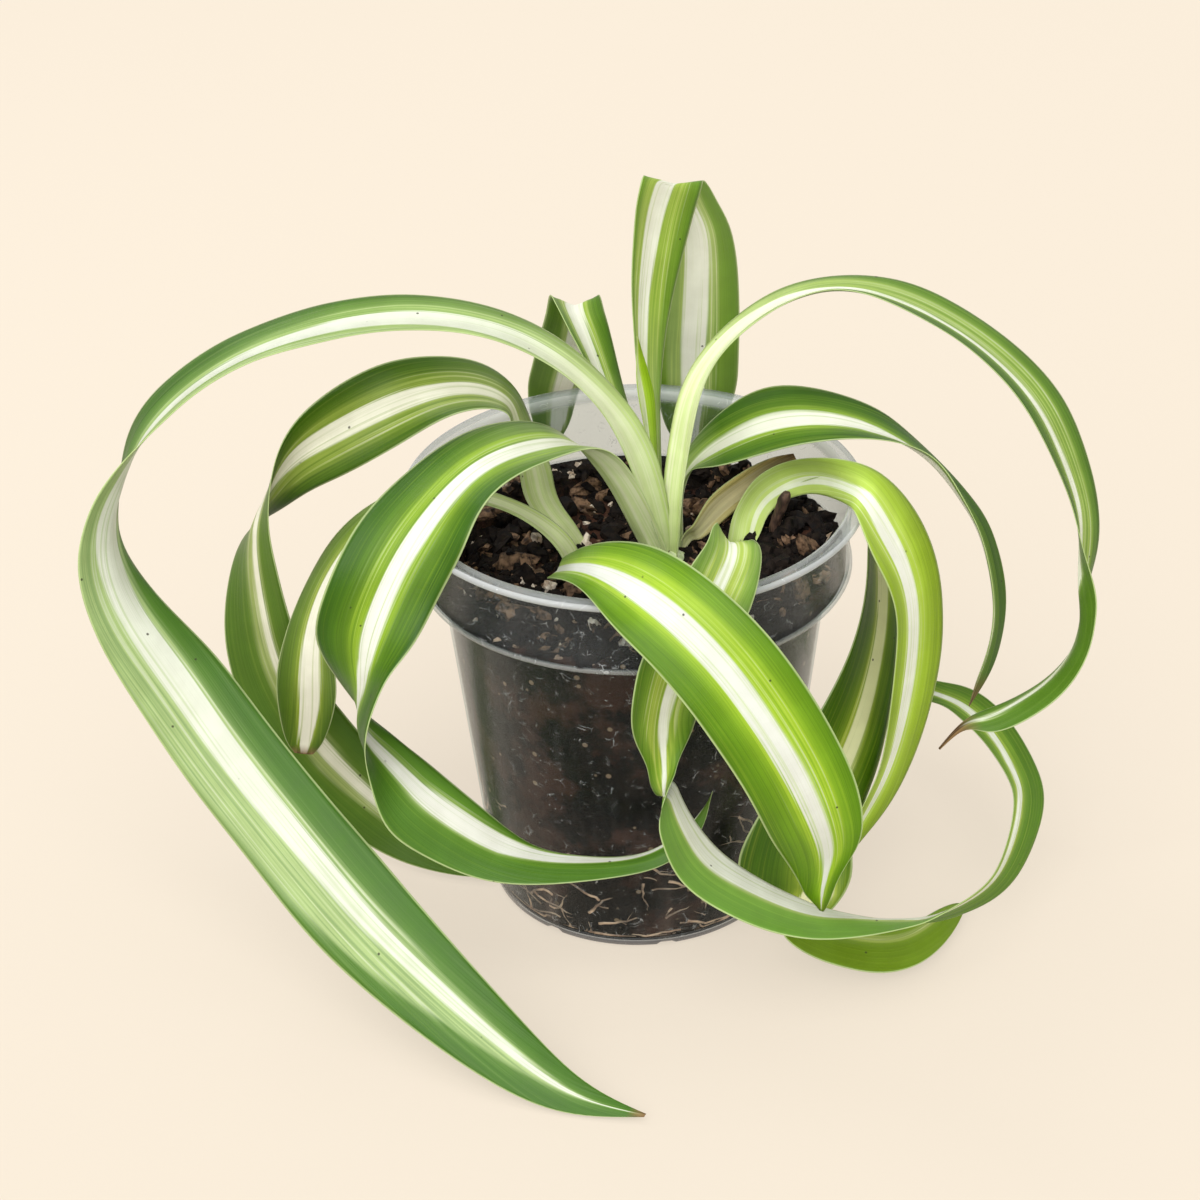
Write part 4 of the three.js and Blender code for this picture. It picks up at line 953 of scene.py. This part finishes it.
# Dark right leaf: a darker living leaf below the high one. It grows from the crown, tilts over, narrows
# and hangs in an arc to a dry tip.
right_dark_route = [
    (0.012, 0.013, 0.092, -75, 20, 0.006), (0.011, 0.015, 0.104, -75, 25, 0.008, 0.002),
    (0.013, 0.016, 0.112, -75, 20, 0.009, 0.002), (0.016, 0.017, 0.116, -85, 5, 0.013, 0.002),
    (0.023, 0.017, 0.121, -90, -30, 0.017), (0.035, 0.015, 0.128, -85, -30, 0.02),
    (0.048, 0.013, 0.13, -90, -15, 0.02), (0.059, 0.011, 0.129, -95, -5, 0.018, 0.002),
    (0.068, 0.0096, 0.126, -99, 7, 0.0158, 0.002), (0.078, 0.007, 0.12, -95, 30, 0.013, 0.002),
    (0.0856, 0.0036, 0.1103, -117, 31, 0.0124, 0.002), (0.0912, 0.002, 0.101, -117, 25, 0.0111, 0.002),
    (0.0947, 0, 0.0881, -117, 23, 0.0115, 0.002), (0.0958, -0.001, 0.076, -120, 33, 0.0106),
    (0.0944, -0.002, 0.065, -116, 34, 0.0093), (0.0913, -0.0018, 0.0554, -131, 28, 0.0052, 0.001),
    (0.089, -0.002, 0.049, -110, 45, 0.001, 0),
]
right_dark_stripes = [
    (0, -0.9, -0.4, 0.5, 0.9, 0.6), (2, -0.8, -0.3, 0.4, 0.7, 0.3), (4, -0.36, -0.18, 0.25, 0.42),
    (7, -0.34, -0.18, 0.25, 0.42), (9, -0.1, 0.05, 0.7, 0.85), (13, 0.05, 0.2, 0.85, 1),
    (14.6, 0.1, 0.25, 0.6, 0.7), (15.2, 0.1, 0.2, 0.5, 0.6, 0, 0.7), (16, 0.1, 0.2, 0.5, 0.6, 0, 1),
]
right_dark = strap("leaf_right_dark_blade", right_dark_route, right_dark_stripes)
paint_leaf(right_dark, (0.075, 0.195, 0.008), (0.31, 0.47, 0.05), (0.9, 0.91, 0.8), (0.13, 0.23, 0.03))
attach(right_dark, "root")
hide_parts("leaf_right_dark")

# Tall centre leaf: a living leaf, the tallest one. It grows from the crown, stands upright, creases at
# the top and hangs down behind itself.
centre_tall_route = [
    (0.008, 0.013, 0.092, 65, -30, 0.006), (0.007, 0.02, 0.105, 70, -30, 0.008),
    (0.006, 0.024, 0.121, 60, -30, 0.009, 0.002), (0.005, 0.026, 0.136, 55, -35, 0.013, 0.0025),
    (0.006, 0.029, 0.156, 50, -25, 0.018, 0.003), (0.0089, 0.0318, 0.1743, 44, -23, 0.0217, 0.0035),
    (0.0113, 0.0324, 0.1847, 43, -19, 0.023, 0.0025), (0.0124, 0.0372, 0.1854, 45, -20, 0.0236, 0.0018),
    (0.0148, 0.0434, 0.1777, 37, -17, 0.0228, 0.002), (0.0185, 0.0503, 0.1641, 34, -14, 0.0242, 0.0025),
    (0.0191, 0.0559, 0.1414, 19, -3, 0.024, 0.002), (0.019, 0.059, 0.127, 5, -5, 0.023, 0.002),
    (0.019, 0.063, 0.113, 5, -5, 0.022, 0.002), (0.018, 0.064, 0.1, 5, -5, 0.015),
    (0.018, 0.064, 0.087, 65, -30, 0.0015, 0),
]
centre_tall_stripes = [
    (0, -0.95, -0.7, 0.6, 0.85, 0.6), (2, -0.85, -0.6, 0.4, 0.7, 0.25), (4, -0.8, -0.45, 0.2, 0.64),
    (7, -0.78, -0.42, 0.2, 0.6), (8.5, -0.78, -0.4, 0.2, 0.46), (12, -0.7, -0.4, 0.2, 0.38),
    (14, -0.2, -0.1, 0.1, 0.2, 0, 0.2),
]
centre_tall = strap("leaf_centre_tall_blade", centre_tall_route, centre_tall_stripes, evened=3)
paint_leaf(centre_tall, (0.14, 0.31, 0.012), (0.42, 0.56, 0.09), (0.93, 0.94, 0.84), (0.19, 0.34, 0.04))
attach(centre_tall, "root")
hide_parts("leaf_centre_tall")

# Small centre leaf: a shorter living leaf on the left of the tall one. It grows from the crown too and
# is creased over in the same way.
centre_small_route = [
    (0.006, 0.012, 0.095, 70, -20, 0.006), (0.003, 0.014, 0.109, 70, -20, 0.008),
    (0, 0.018, 0.122, 65, -20, 0.011, 0.002), (-0.004, 0.023, 0.129, 50, -30, 0.014, 0.0025),
    (-0.007, 0.028, 0.138, 50, -30, 0.016, 0.0025), (-0.01, 0.033, 0.145, 50, -20, 0.017, 0.003),
    (-0.0125, 0.0381, 0.1495, 41, -24, 0.0181, 0.003), (-0.0139, 0.0451, 0.1502, 40, -16, 0.0174, 0.0032),
    (-0.0151, 0.0505, 0.1421, 40, -18, 0.0179, 0.003), (-0.017, 0.0564, 0.131, 29, -18, 0.0168, 0.0025),
    (-0.019, 0.062, 0.12, 25, -25, 0.017, 0.002), (-0.021, 0.066, 0.111, 25, -25, 0.016, 0.002),
    (-0.022, 0.067, 0.1, 15, -20, 0.01), (-0.023, 0.067, 0.091, 75, -30, 0.0015, 0),
]
centre_small_stripes = [
    (0, -0.9, -0.6, 0.6, 0.9, 0.6), (2, -0.85, -0.5, 0.5, 0.8, 0.2), (4, -0.62, -0.4, 0.22, 0.46),
    (7, -0.6, -0.35, 0.3, 0.5), (9, -0.25, -0.1, 0.7, 0.85), (12, -0.2, -0.05, 0.7, 0.8),
    (13, -0.2, -0.1, 0.2, 0.3, 0, 0.1),
]
centre_small = strap("leaf_centre_small_blade", centre_small_route, centre_small_stripes, evened=3)
paint_leaf(centre_small, (0.12, 0.27, 0.014), (0.4, 0.54, 0.09), (0.91, 0.92, 0.82), (0.17, 0.31, 0.04))
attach(centre_small, "root")
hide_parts("leaf_centre_small")

# Spear leaf: the youngest leaf, soft, bright green and still narrow. It stands up from the middle of
# the crown.
spear_route = [
    (0.007, 0.01, 0.097, 60, -30, 0.0045, 0.0012), (0.006, 0.012, 0.112, 60, -30, 0.005, 0.0012),
    (0.005, 0.014, 0.126, 50, -25, 0.0055, 0.0013), (0.004, 0.014, 0.136, 40, -20, 0.006),
    (0.003, 0.014, 0.144, 45, -35, 0.005), (0.002, 0.015, 0.152, 70, -30, 0.001, 0),
]
spear_stripes = [
    (0, -1, -0.9, 0.3, 0.6, 0.35), (2, -1, -0.9, 0.1, 0.4, 0.05), (4, -1, -0.9, -0.1, 0.2),
    (5, -0.6, -0.4, -0.1, 0.2, 0, 0.2),
]
spear = strap("leaf_spear_blade", spear_route, spear_stripes, evened=5)
paint_leaf(spear, (0.35, 0.58, 0.008), (0.47, 0.65, 0.06), (0.8, 0.84, 0.6), (0.33, 0.56, 0.03))
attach(spear, "root")
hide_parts("leaf_spear")

# Withered leaf: a small yellowed leaf, papery and dry at its end. It grows from the crown and leans out
# behind the twig on the right.
withered_route = [
    (0.014, 0.013, 0.094, 60, -45, 0.005, 0.0008), (0.0171, 0.0127, 0.0963, 43, -59, 0.0062, 0.0008),
    (0.0229, 0.016, 0.1017, 19, -50, 0.0089, 0.001), (0.0303, 0.0184, 0.1063, 20, -51, 0.0102, 0.0012),
    (0.0368, 0.02, 0.1104, 17, -50, 0.0075, 0.001), (0.0429, 0.0194, 0.1141, -18, -65, 0.0023, 0),
]
withered_stripes = [
    (0, -1, -0.9, 0.9, 1, 0.6), (1.5, -0.9, -0.6, 0.6, 0.9, 0.2, 0.05), (3, -0.8, -0.5, 0.5, 0.8, 0, 0.15),
    (4, -0.8, -0.5, 0.5, 0.8, 0, 0.6), (5, -0.8, -0.5, 0.5, 0.8, 0, 1),
]
withered = strap("leaf_withered_blade", withered_route, withered_stripes, wrinkle=4.0, evened=4)
paint_leaf(withered, (0.56, 0.45, 0.13), (0.72, 0.61, 0.24), (0.82, 0.72, 0.42), (0.5, 0.4, 0.13))
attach(withered, "root")
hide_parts("leaf_withered")

# Crown: the short pale stem at the middle, wrapped in the overlapping white bases of the leaves. It
# stands in the soil and narrows towards its top.
crown_sides = 72
crown_rings = 22
crown_foot, crown_top = 0.0845, 0.0945
crown_radius = 0.0058
crown_taper, crown_rounding, crown_shoulder = 0.28, 0.72, 0.8
crown_points = []
for ring in range(crown_rings):
    share = ring / (crown_rings - 1)
    rounded = max(0, (share - crown_shoulder) / (1 - crown_shoulder)) ** 2
    radius = crown_radius * (1.0 - crown_taper * share - crown_rounding * rounded)
    z = crown_foot + (crown_top - crown_foot) * share
    for s in range(crown_sides):
        turn = 2 * math.pi * s / crown_sides
        fold = 1 + 0.10 * math.cos(3 * turn + 1.2) + 0.05 * math.cos(7 * turn)
        x, y = radius * fold * math.cos(turn), radius * fold * math.sin(turn)
        crown_points.append((crown_centre[0] + x, crown_centre[1] + y, z))
crown = add_mesh("crown_sheaths", crown_points, sleeve(crown_rings, crown_sides))
sheath, tree, shader = add_material("pale_sheath")
stretched = {"Vector": own_place(tree), "Scale": (1, 1, 0.08)}
veins = grain(tree, add_node(tree, "ShaderNodeMapping", stretched).outputs[0], 700, 3, 0.6)
plug(tree, shader, {
    "Base Color": mix(tree, step(tree, veins, 0.4, 0.65), (0.70, 0.76, 0.52, 1), (0.46, 0.56, 0.28, 1)),
    "Roughness": step(tree, veins, 0.3, 0.7, 0.35, 0.5),
    "Normal": bump(tree, 0.4, 0.0003, veins),
})
crown.data.materials.append(sheath)
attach(crown, "root")
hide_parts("crown")

# Twig: a dry brown stub of an old stalk that stands in the soil beside the right-hand leaves. A row
# of its route is a place and the stub's radius there.
twig_route = [
    (0.0360, 0.0150, 0.0895, 0.0013), (0.0368, 0.0140, 0.0940, 0.0013), (0.0376, 0.0131, 0.0985, 0.0014),
    (0.0388, 0.0118, 0.1035, 0.0015), (0.0396, 0.0106, 0.1070, 0.0016), (0.0400, 0.0101, 0.1088, 0.0009),
]
twig_sides = 20
twig_knobs = 0.22
twig_samples, _ = through(twig_route, 6)
twig_points = []
for x, y, z, radius in twig_samples:
    for across, over in circle(1, twig_sides):
        bumpy = radius * (1 + twig_knobs * noise.noise((across * 2, over * 2, z * 500)))
        twig_points.append((x + bumpy * across, y + bumpy * over, z))
twig = add_mesh("twig_bark", twig_points, sleeve(len(twig_samples), twig_sides))
bark, tree, shader = add_material("dry_bark")
stretched = {"Vector": own_place(tree), "Scale": (1, 1, 0.2)}
fibre = grain(tree, add_node(tree, "ShaderNodeMapping", stretched).outputs[0], 900, 4, 0.65)
plug(tree, shader, {
    "Base Color": mix(tree, step(tree, fibre, 0.35, 0.65), (0.03, 0.016, 0.011, 1), (0.13, 0.072, 0.046, 1)),
    "Roughness": step(tree, fibre, 0.3, 0.7, 0.6, 0.85),
    "Normal": bump(tree, 0.7, 0.0003, fibre),
})
twig.data.materials.append(bark)
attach(twig, "root")
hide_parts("twig")
